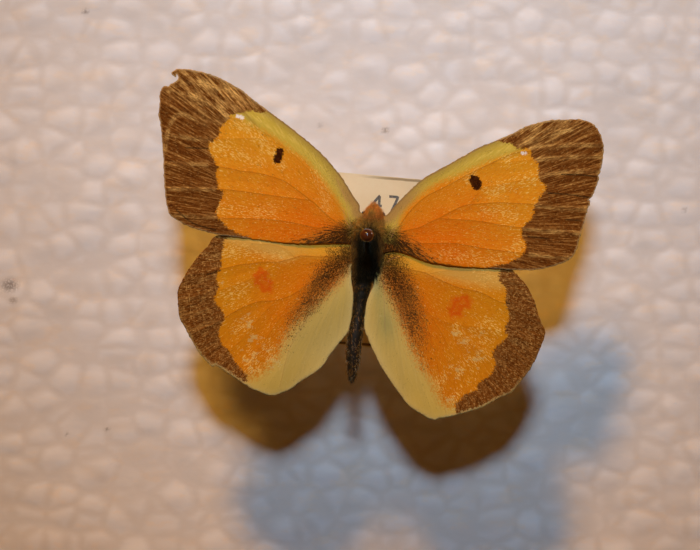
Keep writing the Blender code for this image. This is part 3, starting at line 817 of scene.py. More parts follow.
hindwingLeft = {
    "name": "hindwing_left", "side": -1, "hind": True, "root": (-1.9, -2.3), "axis": (-0.8, -0.6),
    "edge": [(-0.9, -1.0), (-2.1, -0.75), (-5.0, -0.3), (-9.2, 0.1), (-16.4, 0.2), (-17.9, -1.1),
             (-18.8, -2), (-20.1, -3.7), (-21.1, -5.5), (-21.3, -6.2), (-21.3, -7.1), (-21.1, -9.1),
             (-20.3, -10.7), (-19.1, -12.9), (-17.9, -14.3), (-17.4, -14.7), (-17.1, -14.5),
             (-16.8, -14.7), (-15.4, -15.6), (-13.1, -17.1), (-12, -17.6), (-11.2, -17.9),
             (-10.2, -17.9), (-8.6, -17.3), (-7.5, -16.4), (-5.3, -15), (-4, -13.2), (-2.6, -11.5),
             (-2, -10.7), (-1.7, -9.4), (-1.55, -7.9), (-1.5, -6.5), (-1.7, -5), (-1.7, -3.4)],
    "costa": (1, 3),
    "dark": [(-13.6, 1.2), (-14.3, 0.5), (-15.5, -0.1), (-16.1, -0.5), (-16.1, -1.1), (-16.3, -1.8),
             (-16.4, -2.7), (-16.4, -3.6), (-16.9, -4.2), (-16.9, -4.9), (-16.7, -5.7), (-17, -6.5),
             (-17.2, -7.2), (-16.9, -7.7), (-16.4, -8.2), (-16.1, -8.9), (-16.1, -9.4), (-16.4, -10),
             (-16.7, -10.7), (-16.6, -11.5), (-16.3, -12.3), (-15.7, -12.7), (-15.3, -13.4),
             (-14.9, -14), (-14.5, -14.6), (-14, -15.2), (-13.5, -15.8), (-13.7, -16.4),
             (-15.2, -15.9), (-16.4, -15.2), (-17.2, -14.9)],
    "darkAround": [(-19, -16), (-28, -16), (-28, 6), (-12, 6)],
    "band": [(-16.6, -0.6), (-13.5, -1.3), (-10.5, -2.2), (-9.2, -2.7), (-8.1, -2.4), (-7.3, -2.2),
             (-5.3, -2.3), (-2, -2.2)],
    "bandAround": [(4, 0), (0, 6), (-18, 6)],
    "veins": [
        [(-2.4, -2.3), (-3.6, -2.2), (-5.3, -2.3), (-7.3, -2.2), (-8.1, -2.4), (-9.2, -2.7),
         (-10.1, -2.9), (-11.8, -2.9), (-13.2, -3.1), (-14.3, -3.2), (-16.4, -3.7), (-20.2, -4.4)],
        [(-2.4, -2.9), (-4.1, -3.8), (-5.3, -4.6), (-6.4, -5.3), (-8.4, -6.6), (-9.8, -7.1),
         (-10.9, -7.3), (-11.8, -7.3), (-13.2, -7.7), (-14.7, -8.4), (-17.5, -10), (-20.2, -11)]],
    "finerVeins": [
        [(-9.8, -7.1), (-10.9, -7.9), (-11.8, -8.9), (-13.2, -10.6), (-14.3, -11.9), (-17, -14)],
        [(-8.4, -6.6), (-9.2, -8.3), (-10.3, -10), (-11.8, -12.3), (-12.9, -14.2), (-14, -16)],
        [(-10.1, -2.9), (-11.8, -4.2), (-13.7, -5.1), (-16.3, -6), (-21.2, -7.4)],
        [(-8.1, -2.4), (-8.9, -1.6), (-10.4, -1.0), (-13, -0.8)],
        [(-3.2, -3.6), (-6, -8), (-8.6, -12.5), (-9.8, -17)]],
    "streaks": [
        [(-16.6, -2.2), (-18, -2.6), (-19.4, -3.2)], [(-17.2, -4.4), (-19, -5), (-20.8, -5.6)],
        [(-17.2, -8), (-19, -8.6), (-20.8, -9)], [(-16.8, -9.6), (-18.6, -10), (-20, -10.6)],
        [(-17, -11.8), (-18.4, -12.4), (-19, -13)], [(-17.4, -6.4), (-19.6, -7), (-21, -7.2)]],
    "spot": [(-11.9, -4.5), (-11.7, -5.1), (-11.2, -5.5)], "spotSize": 0.75,
    "dusk": [(-1.9, -2.1), (-4.1, -3.9), (-5.4, -5.7), (-6.6, -7.7), (-7.9, -9.2), (-8.8, -11.3),
             (-9.3, -13.2)],
    "duskWidth": (1.35, 0.85),
    "anal": [(-1.9, -3.2), (-3.3, -5.2), (-5.0, -6.9), (-6.9, -8.7), (-8.7, -10.6), (-9.6, -12.4),
             (-10.4, -14.0), (-12.2, -15.6), (-14.4, -16.2)],
    "rub": [[(-13.7, -9.6), (-14.6, -10.4)], [(-12.7, -13.2), (-13.4, -14.4), (-12.2, -15.4)],
            [(-11.2, -12.6), (-10.4, -14.3)], [(-13.5, -1.6), (-16.0, -1.8)],
            [(-14.2, -5.8), (-15.8, -6.6)], [(-9.2, -2.2), (-12.6, -2.0)],
            [(-16.2, -14.8), (-14.4, -16.0)]],
    "cracks": [[(-15.9, -3.7), (-18.0, -4.3)]],
    "sinews": [[(-2.2, -4.4), (-2.6, -5.4)]],
    "fan": [[(-2.4, -2.6), (-5.0, -4.4), (-7.6, -6.0)], [(-2.4, -2.4), (-4.6, -3.0), (-6.2, -3.4)],
            [(-2.4, -2.0), (-4.2, -1.6)]],
    "analAround": [(-15, -19), (2, -22), (3, -2)],
    "worn": [(-13.7, -9.6), (-12.7, -13.2), (-13.4, -14.4), (-11.2, -12.6), (-10.4, -14.3),
             (-12.5, -11.4)],
}

hindwingRight = {
    "name": "hindwing_right", "side": 1, "hind": True, "root": (2.0, -3.0), "axis": (0.62, -0.78),
    "edge": [(1.0, -1.5), (2.4, -1.4), (4.6, -1.75), (9.4, -2.4), (15.7, -2.9), (16.5, -3.8), (17.3, -4.6),
             (18.1, -5.6), (18.9, -7.2), (19.6, -9.3), (20.2, -10.8), (20, -11.7), (19.2, -13.7),
             (18.5, -15), (17.2, -16.7), (16.3, -17.7), (15.1, -18.2), (13.3, -19.2), (10.5, -20.1),
             (8.1, -20.6), (7.5, -20.7), (6.8, -20.4), (4.9, -19.2), (3.3, -17.2), (1.8, -14.9),
             (0.6, -12.5), (0.1, -11.3), (-0.3, -10.2), (-0.3, -9.3), (-0.1, -8), (0.3, -6.6),
             (0.8, -5.5), (1.0, -3.9)],
    "costa": (1, 3),
    "dark": [(14.2, -2.2), (14.6, -2.9), (15.1, -3.6), (15, -4.1), (15, -4.9), (15.4, -5.4),
             (15.8, -6), (15.7, -7.2), (15.9, -8.1), (16.2, -8.8), (16, -9.5), (15.7, -10.2),
             (15.7, -10.9), (16, -11.2), (15.4, -11.9), (14.6, -12.5), (14.3, -13.1), (14.3, -13.7),
             (14.6, -14.4), (14.3, -15.2), (13.8, -15.9), (13.2, -16.2), (12.6, -16.7),
             (12.5, -17.3), (11.8, -17.6), (11, -17.9), (10.6, -18.5), (10.1, -18.9), (10.1, -19.4),
             (10.5, -20.3), (13.3, -19.8), (15.2, -18.8), (16.8, -17.7)],
    "darkAround": [(20, -18), (26, -16), (26, 0), (14, 2)],
    "band": [(16.4, -5.6), (14.6, -5.8), (12.2, -5.4), (10.2, -4.9), (8.3, -4.6), (7.2, -4.3),
             (5.1, -3.8), (2.4, -3.5)],
    "bandAround": [(-2, -2), (2, 4), (18, 4)],
    "veins": [
        [(2.6, -3.4), (3.8, -3.6), (5.1, -3.8), (6.6, -4.1), (7.4, -4.5), (8.3, -4.9), (9.4, -5.4),
         (10.8, -5.9), (12.8, -6.3), (15.1, -7.4), (19.4, -9)]],
    "finerVeins": [
        [(7.2, -4.2), (8.3, -4), (10.6, -3.8), (13.4, -4)],
        [(2.6, -3.4), (4.4, -5.2), (5.8, -7.2), (7.4, -9), (9.7, -9.9), (12.6, -10.3), (15.4, -10.8),
         (19.8, -12)],
        [(7.4, -9), (8.5, -11), (9.7, -13.3), (10.8, -16), (12, -19)],
        [(5.8, -7.2), (6.7, -9.7), (7.6, -12.8), (8.3, -16.2), (9, -20)],
        [(9.7, -9.9), (12, -12.4), (14.3, -14), (16.6, -16.8)]],
    "streaks": [
        [(17.2, -6), (17.9, -6.6), (18.4, -7.1)], [(14.6, -13.8), (15.2, -14.3), (15.7, -14.7)],
        [(12.8, -17.3), (13.1, -17.9), (13.3, -18.5)], [(15.4, -4.4), (16.6, -5.4), (17.4, -6.2)],
        [(16.4, -11.6), (17.6, -12.4), (18.6, -12.8)]],
    "spot": [(10.1, -8.3), (10.3, -7.7), (11, -7.4)], "spotSize": 0.8,
    "dusk": [(2.4, -2.8), (3.2, -4.6), (4.2, -6.4), (5.0, -8.7), (5.7, -10.9), (6.2, -13.1),
             (6.7, -14.9)],
    "duskWidth": (1.7, 0.95),
    "anal": [(1.9, -2.9), (1.9, -4.8), (2.7, -6.6), (3.7, -8.9), (4.8, -11.9), (6.0, -14.3),
             (7.5, -16.5), (8.5, -18.6), (10.4, -19.6)],
    "rub": [[(10.2, -10.7), (11.5, -11.9)], [(10, -15.4), (11.2, -14.6)], [(8.1, -17.1), (8.4, -16.2)],
            [(11.7, -14.0), (13.4, -13.7)], [(13.6, -9.6), (12.4, -10.6)], [(9.6, -18.6), (10.2, -17.8)],
            [(14.2, -4.6), (12.6, -4.2)], [(14.6, -10.6), (12.8, -12.6)]],
    "cracks": [[(15.0, -7.2), (16.2, -7.6)]],
    "sinews": [[(2.3, -2.9), (2.9, -2.5), (3.6, -2.3)], [(1.9, -4.9), (2.0, -7.5), (2.1, -10.6)]],
    "fan": [[(2.6, -3.2), (5.0, -5.0), (6.8, -7.0)], [(2.6, -3.2), (4.6, -4.0)]],
    "analAround": [(11, -23), (-4, -23), (-4, -2)],
    "worn": [(10.6, -11.1), (11.4, -11.9), (11.9, -11.2), (10, -15.4), (9.6, -18.6), (12.4, -13.9)],
}

wings = [forewingLeft, forewingRight, hindwingLeft, hindwingRight]


def nearestGap(places, paths):
    best = np.full(len(places), 1e9)
    for path in paths:
        best = np.minimum(best, awayFrom(places, path))
    return best


def wingDepth(places, wing):
    # how far behind the forewings' plane the middle of the wing lies, mm
    across = np.abs(places[:, 0])
    depth = -wingSettings["lift"] * np.maximum(across - 3, 0)
    if wing["hind"]:
        # the inner part folds back, and the lower outer part droops
        depth = depth + wingSettings["hindStep"]
        inner = zone(places, wing["anal"], wing["analAround"])
        depth = depth + 1.0 * ramp(inner, 0.5, 6.5) - 0.25 * ramp(inner, -5, 0)
        return depth + 0.5 * ramp(-places[:, 1], 4, 18) * ramp(across, 4, 20)
    # the leading edge bends back, and the blade has one slow wave
    front = zone(places, wing["band"], wing["bandAround"])
    depth = depth + 0.35 * ramp(front, 0.2, 3.0)
    return depth - 0.25 * np.sin(places[:, 0] * 0.21 + 0.8) * ramp(across, 4, 12)


def wingOutline(wing):
    # the edge at an even spacing, a little ragged away from the root
    edge = evenPath(smoothPath(wing["edge"], 8), wingSettings["step"] * 0.9)
    wobble = np.random.default_rng(len(wing["edge"]))
    turn = np.gradient(edge, axis=0)
    outward = np.stack([turn[:, 1], -turn[:, 0]], 1)
    outward /= np.maximum(np.hypot(*outward.T), 1e-9)[:, None]
    nibble = np.convolve(wobble.normal(0, 1, len(edge)), [0.25, 0.5, 0.25], "same") * wingSettings["nibble"]
    toRoot = np.hypot(*(edge - np.array(wing["root"])).T)
    edge = edge + outward * (nibble * ramp(toRoot, 3, 6))[:, None]
    return edge[::-1] if wing["side"] > 0 else edge


def wingPoints(wing, edge):
    # the edge, a grid inside it, and the veins' own points so that each ridge is sharp
    step = wingSettings["step"]
    low, high = edge.min(0), edge.max(0)
    rows = np.arange(low[1], high[1], step * 0.866)
    gridX, gridZ = np.meshgrid(np.arange(low[0], high[0], step), rows)
    gridX = gridX + (np.arange(len(rows)) % 2)[:, None] * step / 2
    ring = np.vstack([edge, edge[:1]])
    inner = np.stack([gridX.ravel(), gridZ.ravel()], 1)
    inner = inner[within(inner, edge)]
    inner = inner[awayFrom(inner, ring) > step * 0.5]
    veinPaths = [evenPath(smoothPath(v, 6), step) for v in wing["veins"] + wing["finerVeins"]]
    veinPoints = np.vstack(veinPaths)
    veinPoints = veinPoints[within(veinPoints, edge) & (awayFrom(veinPoints, ring) > step * 0.6)]
    inner = inner[nearestGap(inner, veinPaths) > step * 0.45]
    return np.vstack([edge, inner, veinPoints])


def wingFields(places, wing):
    # the measures that the finish is drawn from, mm unless said
    away = places - np.array(wing["root"])
    axis = np.array(wing["axis"])
    reach = np.hypot(*away.T)
    swing = np.arctan2(axis[0] * away[:, 1] - axis[1] * away[:, 0], away @ axis) * wing["side"]
    edge = smoothPath(wing["edge"], 8)
    first, last = wing["costa"]
    fields = {
        "flow": np.stack([reach, swing * 12, np.zeros(len(reach))], 1),
        "rim": awayFrom(places, edge),
        "costa": awayFrom(places, edge[first * 8:last * 8]),
        "dark": zone(places, wing["dark"], wing["darkAround"]),
        "band": zone(places, wing["band"], wing["bandAround"]),
        "spot": wing["spotSize"] - awayFrom(places, smoothPath(wing["spot"], 4)),
    }
    for name, curves, steps in (("vein", "veins", 6), ("fineVein", "finerVeins", 6),
                                ("streak", "streaks", 6), ("rub", "rub", 4), ("crack", "cracks", 4),
                                ("sinew", "sinews", 4), ("fan", "fan", 4)):
        if curves in wing:
            fields[name] = nearestGap(places, [smoothPath(curve, steps) for curve in wing[curves]])
    if wing["hind"]:
        wide, narrow = wing["duskWidth"]
        width = wide + (narrow - wide) * np.clip((reach - 1) / 12, 0, 1)
        fields["dusk"] = 1 - awayFrom(places, smoothPath(wing["dusk"], 4)) / width
        fields["anal"] = zone(places, wing["anal"], wing["analAround"])
        patches = [np.hypot(*(places - np.array(patch)).T) for patch in wing["worn"]]
        fields["worn"] = np.min(patches, axis=0)
    else:
        fields["white"] = wing["whiteSize"] - awayFrom(places, np.array(wing["white"], float))
        fields["hem"] = awayFrom(places, edge[-41:])   # the last stretch of the edge, back to the root
    return fields


def makeWing(wing, dorsal, ventral):
    # a thin sheet with ridged veins, thinner towards its edge
    s = wingSettings
    edge = wingOutline(wing)
    rim = len(edge)
    verts, _, faces, _, _, _ = delaunay_2d_cdt(
        [Vector(p) for p in wingPoints(wing, edge)], [], [list(range(rim))], 1, 1e-6)
    places = np.array([tuple(v) for v in verts])
    fields = wingFields(places, wing)
    strong = np.exp(-(fields["vein"] / s["veinWidth"]) ** 2)
    weak = 0.5 * np.exp(-(fields["fineVein"] / s["veinWidth"]) ** 2)
    root = 0.8 * np.exp(-(fields["sinew"] / s["sinewWidth"]) ** 2) * ramp(fields["rim"], 0.0, 0.4)
    nearVein = np.minimum(fields["vein"], fields["fineVein"])
    depth = wingDepth(places, wing) + s["sag"] * ramp(nearVein, 0, 1.2)
    thin = ramp(fields["rim"], 0.0, 0.3)
    half = s["thickness"] / 2 * (0.35 + 0.65 * thin)
    ridge = np.maximum(np.maximum(strong, weak), root) * s["veinHeight"] * thin
    front = np.stack([places[:, 0], depth - half - ridge, places[:, 1]], 1)
    back = np.stack([places[:, 0], depth + half + ridge * 0.6, places[:, 1]], 1)
    solid = np.vstack([front, back]) * mm + np.array([pinX, wingY, pinZ])
    count = len(places)
    allFaces = [tuple(f) for f in faces] + [tuple(count + k for k in reversed(f)) for f in faces]
    for k in range(rim):
        after = (k + 1) % rim
        allFaces.append((k, count + k, count + after, after))
    made = meshObject(wing["name"] + "_skin", solid, allFaces, dorsal)
    made.data.materials.append(ventral)
    slots = np.zeros(len(allFaces), np.int32)
    slots[len(faces):2 * len(faces)] = 1
    made.data.polygons.foreach_set("material_index", slots)
    for name, values in fields.items():
        kind = "FLOAT_VECTOR" if values.ndim == 2 else "FLOAT"
        setAttribute(made, name, np.concatenate([values, values]), kind)
    print(wing["name"], len(made.data.polygons), "faces")
    finishPiece(made, "wing", wing["name"])


wingColours = {
    "deep": (0.77, 0.148, 0.0005),     # orange towards the hind margin and the root
    "pale": (0.80, 0.365, 0.017),      # orange towards the border
    "fibre": (0.86, 0.44, 0.032),
    "shade": (0.54, 0.135, 0.0005),
    "hindPaintedShade": (0.90, 0.82, 0.50),   # painted shade: the hindwings are painted a little darker
    "yellow": (0.60, 0.46, 0.065),     # leading edge band
    "yellowPale": (0.74, 0.58, 0.12),
    "olive": (0.27, 0.18, 0.045),
    "rootTan": (0.46, 0.27, 0.085),
    # the sinews' own pink, painted lighter as a highlight on their ridges
    "sinew": (0.58, 0.27, 0.13),
    "buff": (0.76, 0.46, 0.10),        # front strip of the hindwing
    "buffRoot": (0.82, 0.42, 0.035),
    "cream": (0.66, 0.505, 0.135),     # inner part of the hindwing
    "creamPale": (0.78, 0.64, 0.24),
    # painted shade along the folds of the hindwing's cream inner part
    "creamFoldShade": (0.56, 0.43, 0.13),
    "creamTip": (0.74, 0.52, 0.085),
    "worn": (0.71, 0.62, 0.25),
    "dark": (0.085, 0.022, 0.002),
    "darkMid": (0.27, 0.092, 0.013),
    "darkPale": (0.84, 0.51, 0.15),    # pale scales in the dark border
    "fleck": (1.0, 0.70, 0.19),
    "spot": (0.034, 0.008, 0.001),     # the forewings' dark spot
    "spotPale": (0.12, 0.030, 0.003),
    "white": (0.98, 0.92, 0.84),       # the small mark by the forewing's tip
    "black": (0.016, 0.011, 0.004),
    "dust": (0.062, 0.034, 0.010),
    "dusk": (0.30, 0.160, 0.030),
    "rimTan": (0.55, 0.36, 0.15),
    "rimOlive": (0.28, 0.18, 0.07),
    "vein": (0.38, 0.110, 0.003),
    "red": (0.70, 0.080, 0.002),
}
scaleSize = (5.5, 8.5, 1)              # wing scales in a millimetre, outwards and round


class WingShop(Shop):
    # the upper side of a wing, in measures that run out from its root and round it
    def __init__(self, name):
        super().__init__(name)
        self.flow = self.attribute("flow", "Vector")
        self.where = self.place()
        self.reach, self.swing, _ = self.split(self.flow)
        self.scales = self.times(self.flow, scaleSize)
        self.pick, self.pickTwo, self.pickThree = self.split(self.cells(self.scales))
        self.fibre = self.fibres(0.7, 6.0, 3.0, 0.65)
        self.fineFibre = self.fibres(1.8, 15.0, 2.0, 0.6)
        self.scratch = self.fibres(2.6, 11.0, 1.0, 0.5, 0.5)
        self.blotch = self.noise(self.where, 0.35, 3.0, 0.55)
        grit = self.noise(self.where, 7.0, 2.0, 0.7).between(0.32, 0.68)
        self.grain = self.pick * 0.45 + grit * 0.55
        for measure in ("rim", "dark", "band", "vein", "fineVein", "costa"):
            setattr(self, measure, self.attribute(measure))

    def fibres(self, outwards, around, *settings):
        return self.noise(self.times(self.flow, (outwards, around, 1)), 1.0, *settings)


def orangeGround(w, c):
    outer = w.reach.between(5, 17) * 0.5 + w.swing.between(-8, 8) * 0.5
    return w.layers(w.mix(outer + w.blotch.sway(0.6), c["deep"], c["pale"]),
                    (w.fibre.between(0.46, 0.72) * 0.40, c["fibre"]),
                    (w.fineFibre.between(0.53, 0.68) * 0.32, c["fibre"]),
                    (w.fineFibre.between(0.49, 0.34) * 0.38, c["shade"]),
                    (w.grain.between(0.55, 0.90) * 0.25, c["fibre"]))


def hindGround(w, c, ground):
    # a buff strip in front, a cream inner part with painted shade along its folds, and patches worn pale
    # painted shade: the whole hindwing ground is darkened
    ground = w.mix(1.0, ground, c["hindPaintedShade"], "MULTIPLY")
    buff = w.mix(w.reach.between(3, 9) + (w.fibre - 0.5), c["buffRoot"], c["buff"])
    buff = w.mix(w.grain.between(0.3, 0.8) * 0.22, buff, c["pale"])
    buffEdge = w.band + w.fibre.sway(1.2) + w.grain.sway(0.6)
    anal = w.attribute("anal")
    # painted shade: grey streaks along the folds of the inner part
    folds = w.fibres(0.10, 1.9, 2.0, 0.5)
    cream = w.layers(c["cream"], (folds.between(0.42, 0.66) * 0.45, c["creamFoldShade"]),
                     (w.fibre.between(0.50, 0.70) * 0.30, c["creamPale"]),
                     (anal.between(2.0, 5.0) * (0.2 + 0.6 * w.fibre), c["creamPale"]),
                     (w.rim.near(0.1, 1.0) * 0.5, c["creamPale"]),
                     (w.fineVein.near(0.05, 0.3) * 0.20, c["creamPale"]),
                     (w.reach.between(10.0, 18.0) * 0.45, c["creamTip"]))
    creamEdge = anal + w.grain.sway(1.5) + w.fibre.sway(1.2)
    scuffed = w.noise(w.place((0.8, 1, 1.3)), 1.2, 4.0, 0.62)
    wornChance = w.attribute("worn").near(0.2, 2.0) * 0.16
    patchy = (scuffed + w.grain.sway(0.14) + wornChance).between(0.66, 0.74)
    return w.layers(ground, (buffEdge.between(-0.8, 0.7) * 0.88, buff),
                    (creamEdge.between(-0.9, 0.8), cream), (patchy * 0.48, c["worn"]))


def foreGround(w, c, ground):
    # a yellow leading edge band, olive along the edge itself, and tan by the root
    yellow = w.mix(w.fibre.between(0.45, 0.66) * w.band.between(0.0, 0.9), c["yellow"], c["yellowPale"])
    yellowEdge = w.band + w.fibre.sway(0.9) + w.grain.sway(0.5)
    tan = w.costa.near(0.5, 1.5) * w.reach.near(3.5, 8.0)
    olive = w.costa.near(0.25, 1.1) * (0.15 + w.fibre * 0.9) * w.reach.between(2, 9)
    speckle = w.grain + w.band.between(-0.3, 1.0) * w.reach.near(6, 15) * 0.22
    trough = w.fineVein.near(0.08, 0.40) * w.band.between(-0.2, 0.6) * 0.35
    return w.layers(ground, (yellowEdge.between(-0.6, 0.5) * 0.94, yellow), (tan * 0.9, c["rootTan"]),
                    (olive * 0.80, c["olive"]), (speckle.between(0.84, 1.0) * 0.5, c["olive"]),
                    (trough, c["olive"]))


def veinsAndFlecks(w, c, ground, hind):
    # veins show a little darker on the orange, and pale flecks where scales are rubbed away
    veinLine = w.vein.near(0.02, 0.10) * (0.22 + 0.5 * w.fibre)
    onOrange = w.attribute("anal").near(-0.8, 0.4) if hind else w.band.near(0.0, 0.8)
    rubbed = w.blotch.between(0.42, 0.66) * w.reach.between(4, 14) * 0.06
    rubbed = w.attribute("rub").near(0.10, 1.3) * 0.11 + rubbed
    flecks = (w.scratch + w.grain.sway(0.14) + rubbed).between(0.655, 0.745)
    return w.layers(ground, (veinLine.most(w.fineVein.near(0.02, 0.09) * 0.20), c["vein"]),
                    (flecks * (0.15 + 0.55 * onOrange), c["fleck"]))


def discalSpot(w, c, ground, hind):
    # a soft red ring on the hindwing; a dark spot and a small white mark on the forewing
    spot = w.attribute("spot")
    if hind:
        uneven = w.noise(w.where, 1.5, 2.0) - 0.5
        ring = (spot + w.grain.sway(0.5) + uneven * 1.5).between(-0.40, 0.50)
        hollow = (spot + uneven * 2.2).between(0.35, 0.80)
        return w.mix(ring * (0.80 - 0.35 * hollow), ground, c["red"])
    spotMask = (spot + w.grain.sway(0.35) + w.blotch.sway(0.9)).between(-0.05, 0.10)
    spotTone = w.mix(w.grain.between(0.4, 0.9) * 0.6, c["spot"], c["spotPale"])
    whiteMask = (w.attribute("white") + w.grain.sway(0.25)).between(-0.05, 0.08)
    return w.layers(ground, (spotMask, spotTone), (whiteMask, c["white"]))


def darkBorder(w, c, hind):
    # brown with paler scales, more of them along the vein ends and by the tip
    long = w.fibres(0.30, 8.0, 3.0, 0.6)
    finer = w.fineFibre.between(0.32, 0.68)
    shade = long.between(0.38, 0.62) * 0.55 + finer * 0.35 + w.grain.sway(0.40)
    streak = w.attribute("streak")
    line = (streak + w.fibre.sway(0.5)).near(0.0, 0.42)
    broken = w.fibres(0.5, 2.2, 2.0, 0.6).between(0.38, 0.62)
    if hind:
        loose = w.noise(w.where, 3.4, 2.0, 0.65).between(0.50, 0.70)
        crossed = [w.noise(w.place(stretch), 1.0, 2.0, 0.6).between(0.58, 0.67)
                   for stretch in ((2.0, 1, 7.5), (7.5, 1, 2.4))]
        paleness = line * broken * 0.30 + loose * 0.20 + w.scratch.between(0.54, 0.68) * 0.30
        paleness = paleness + crossed[0].most(crossed[1]) * 0.55
    else:
        tip = w.swing.between(0.2, 3.5) * w.reach.between(16, 21)
        paleness = line * (0.14 + 0.62 * broken) + long.between(0.50, 0.66) * (0.34 + tip * 0.60)
        paleness = paleness + tip * broken * 0.60 + w.scratch.between(0.56, 0.70) * 0.30
    cracked = w.attribute("crack").near(0.04, 0.14) * (0.5 + 0.5 * w.pick)
    return w.layers(w.mix(shade, c["dark"], c["darkMid"]),
                    (paleness * (0.18 + 0.60 * finer + 0.30 * w.grain), c["darkPale"]),
                    ((streak + w.fibre.sway(0.12)).near(0.0, 0.09) * 0.6, c["dark"]),
                    (cracked * 0.85, c["black"]))


def rootDust(w, c, surface, hind):
    # a soft shade by the root, scattered dark scales in it, and the pinkish sinews over them, painted
    # lighter as a highlight on their ridges
    dots = w.noise(w.where, 11.0, 2.0, 0.6).between(0.34, 0.66) * 0.7 + w.pickTwo * 0.3
    strands = w.fibres(0.8, 1.9, 3.0, 0.7).between(0.34, 0.66)
    if hind:
        dusk = (w.attribute("dusk") + w.fibre.sway(0.7)).between(-1.0, 0.9)
        fan = w.attribute("fan").near(0.0, 1.0) * w.reach.near(2.0, 6.5)
        density = (dusk * (0.16 + 0.72 * w.reach.near(5.5, 14.0))).most(fan * 0.55)
        density = density.most(w.reach.near(0.3, 3.2) * 0.95)
        specks = dots * 0.84 + strands * 0.16
    else:
        density = (w.attribute("hem") + w.reach * 0.42 + w.fibre.sway(2.6)).near(1.5, 4.3)
        specks = strands * 0.60 + dots * 0.40
    nearRoot = w.reach.near(1.5, 6.5)
    dust = (specks + density * (0.62 + 0.06 * nearRoot)).between(0.80, 1.10 - 0.10 * nearRoot)
    sinewLineAndHighlight = w.attribute("sinew").near(0.02, 0.09) * w.fineFibre.between(0.35, 0.65)
    return w.layers(surface, (density.between(0.05, 0.95) * 0.42, c["dusk"]),
                    (dust * 0.94, w.mix(nearRoot, c["dust"], c["black"])),
                    (sinewLineAndHighlight * 0.7, c["sinew"]))


def wornRims(w, c, surface, hind):
    # the leading edge's own rim and the worn outer fringe
    if hind:
        worn = (w.rim + w.pick.sway(0.25)).near(0.10, 0.34) * w.swing.between(6.0, -3.0)
        return w.mix(worn * 0.75, surface, w.mix(w.pickTwo * 0.6, c["creamPale"], c["rimTan"]))
    fringe = (w.rim + w.pick.sway(0.1)).near(0.05, 0.2) * w.dark.maths("GREATER_THAN", 0.0)
    return w.layers(surface, ((w.costa + w.grain.sway(0.1)).near(0.08, 0.30) * 0.8, c["rimOlive"]),
                    (fringe * (0.35 + w.fibre * 0.6), c["rimTan"]))


def dorsalFinish(name, hind):
    w = WingShop(name)
    c = wingColours
    ground = orangeGround(w, c)
    ground = hindGround(w, c, ground) if hind else foreGround(w, c, ground)
    ground = discalSpot(w, c, veinsAndFlecks(w, c, ground, hind), hind)
    darkEdge = w.dark + w.pick.sway(0.22) + w.fineFibre.sway(0.8)
    surface = w.mix(darkEdge.between(-0.06, 0.07), ground, darkBorder(w, c, hind))
    surface = wornRims(w, c, rootDust(w, c, surface, hind), hind)
    gaps = w.cells(w.scales, out="Distance", feature="DISTANCE_TO_EDGE")
    height = gaps.between(0.0, 0.25) * 0.5 + w.pick * 0.3 + w.fineFibre * 0.6
    return w.finish(colour=surface, roughness=w.pickThree * 0.2 + 0.62, specular=0.03,
                    normal=w.bump(height, 0.5, 0.000014))


def ventralFinish(name, hind):
    # the underside: plain yellow with a faint border
    shop = Shop(name)
    pick = shop.split(shop.cells(shop.times(shop.attribute("flow", "Vector"), scaleSize)))[0]
    border = (shop.attribute("dark") + pick.sway(0.6)).between(-0.3, 0.8) * 0.35
    vein = shop.attribute("vein").least(shop.attribute("fineVein")).near(0.04, 0.14) * 0.4
    spot = (shop.attribute("spot") + pick.sway(0.2)).between(-0.1, 0.05)
    spotColour = (0.75, 0.68, 0.6) if hind else (0.05, 0.03, 0.02)
    colour = shop.layers((0.66, 0.42, 0.10), (pick * 0.5, (0.56, 0.38, 0.12)),
                         (border, (0.42, 0.30, 0.12)), (vein, (0.35, 0.2, 0.06)), (spot, spotColour))
    return shop.finish(colour=colour, roughness=0.6, specular=0.3,
                       normal=shop.bump(pick, 0.4, 0.00001))


foreSkins = [dorsalFinish("forewingScales", False), ventralFinish("forewingUnderside", False)]
hindSkins = [dorsalFinish("hindwingScales", True), ventralFinish("hindwingUnderside", True)]
for wing in wings:
    makeWing(wing, *(hindSkins if wing["hind"] else foreSkins))


# The data label

label = {
    "turn": -5.0,                 # degrees, clockwise as seen from the front
    "wide": 16.0,                 # mm
    "high": 20.0,
    "middle": (1.0, -2.75),       # mm from the pin
    "thickness": 0.16,
    "steps": 4,                   # mesh squares in a millimetre
    "digitHeight": 1.70,
    "digitLine": 0.30,
    "digitGap": 0.9,              # from one digit to the next, in digit heights
    "spaceGap": 0.25,
    # plain numbers, and where each row of them starts, mm from the lower left corner
    "rows": [("4 7 2", 7.1, 16.0), ("2 8 1", 1.6, 2.2), ("6 7", 11.2, 2.1)],
}
digitStrokes = {
    "2": [(0.0, 0.8), (0.15, 1.0), (0.45, 1.0), (0.6, 0.75), (0.45, 0.45), (0.0, 0.0), (0.65, 0.0)],
    "4": [(0.5, 0.0), (0.5, 1.0), (0.0, 0.3), (0.7, 0.3)],
    "6": [(0.55, 1.0), (0.15, 0.7), (0.0, 0.3), (0.2, 0.0), (0.5, 0.05), (0.6, 0.3), (0.4, 0.52),
          (0.1, 0.42)],
    "7": [(0.0, 1.0), (0.62, 1.0), (0.25, 0.0)],
    "1": [(0.1, 0.8), (0.3, 1.0), (0.3, 0.0)],
    "8": [(0.3, 0.55), (0.05, 0.78), (0.3, 1.0), (0.55, 0.78), (0.3, 0.55), (0.02, 0.25), (0.3, 0.0),
          (0.6, 0.25), (0.3, 0.55)],
}


def labelShape(across, up):
    # how far the sheet stands in front of its own plane, mm
    lean = 0.10 * np.sin(across * 0.35 + 0.6) + 0.08 * np.sin(up * 0.28)
    corner = ramp(across + up, 29, 36)
    return lean + 0.75 * corner - 0.25 * ramp(up, 17, 20) * ramp(across, 8, 1)


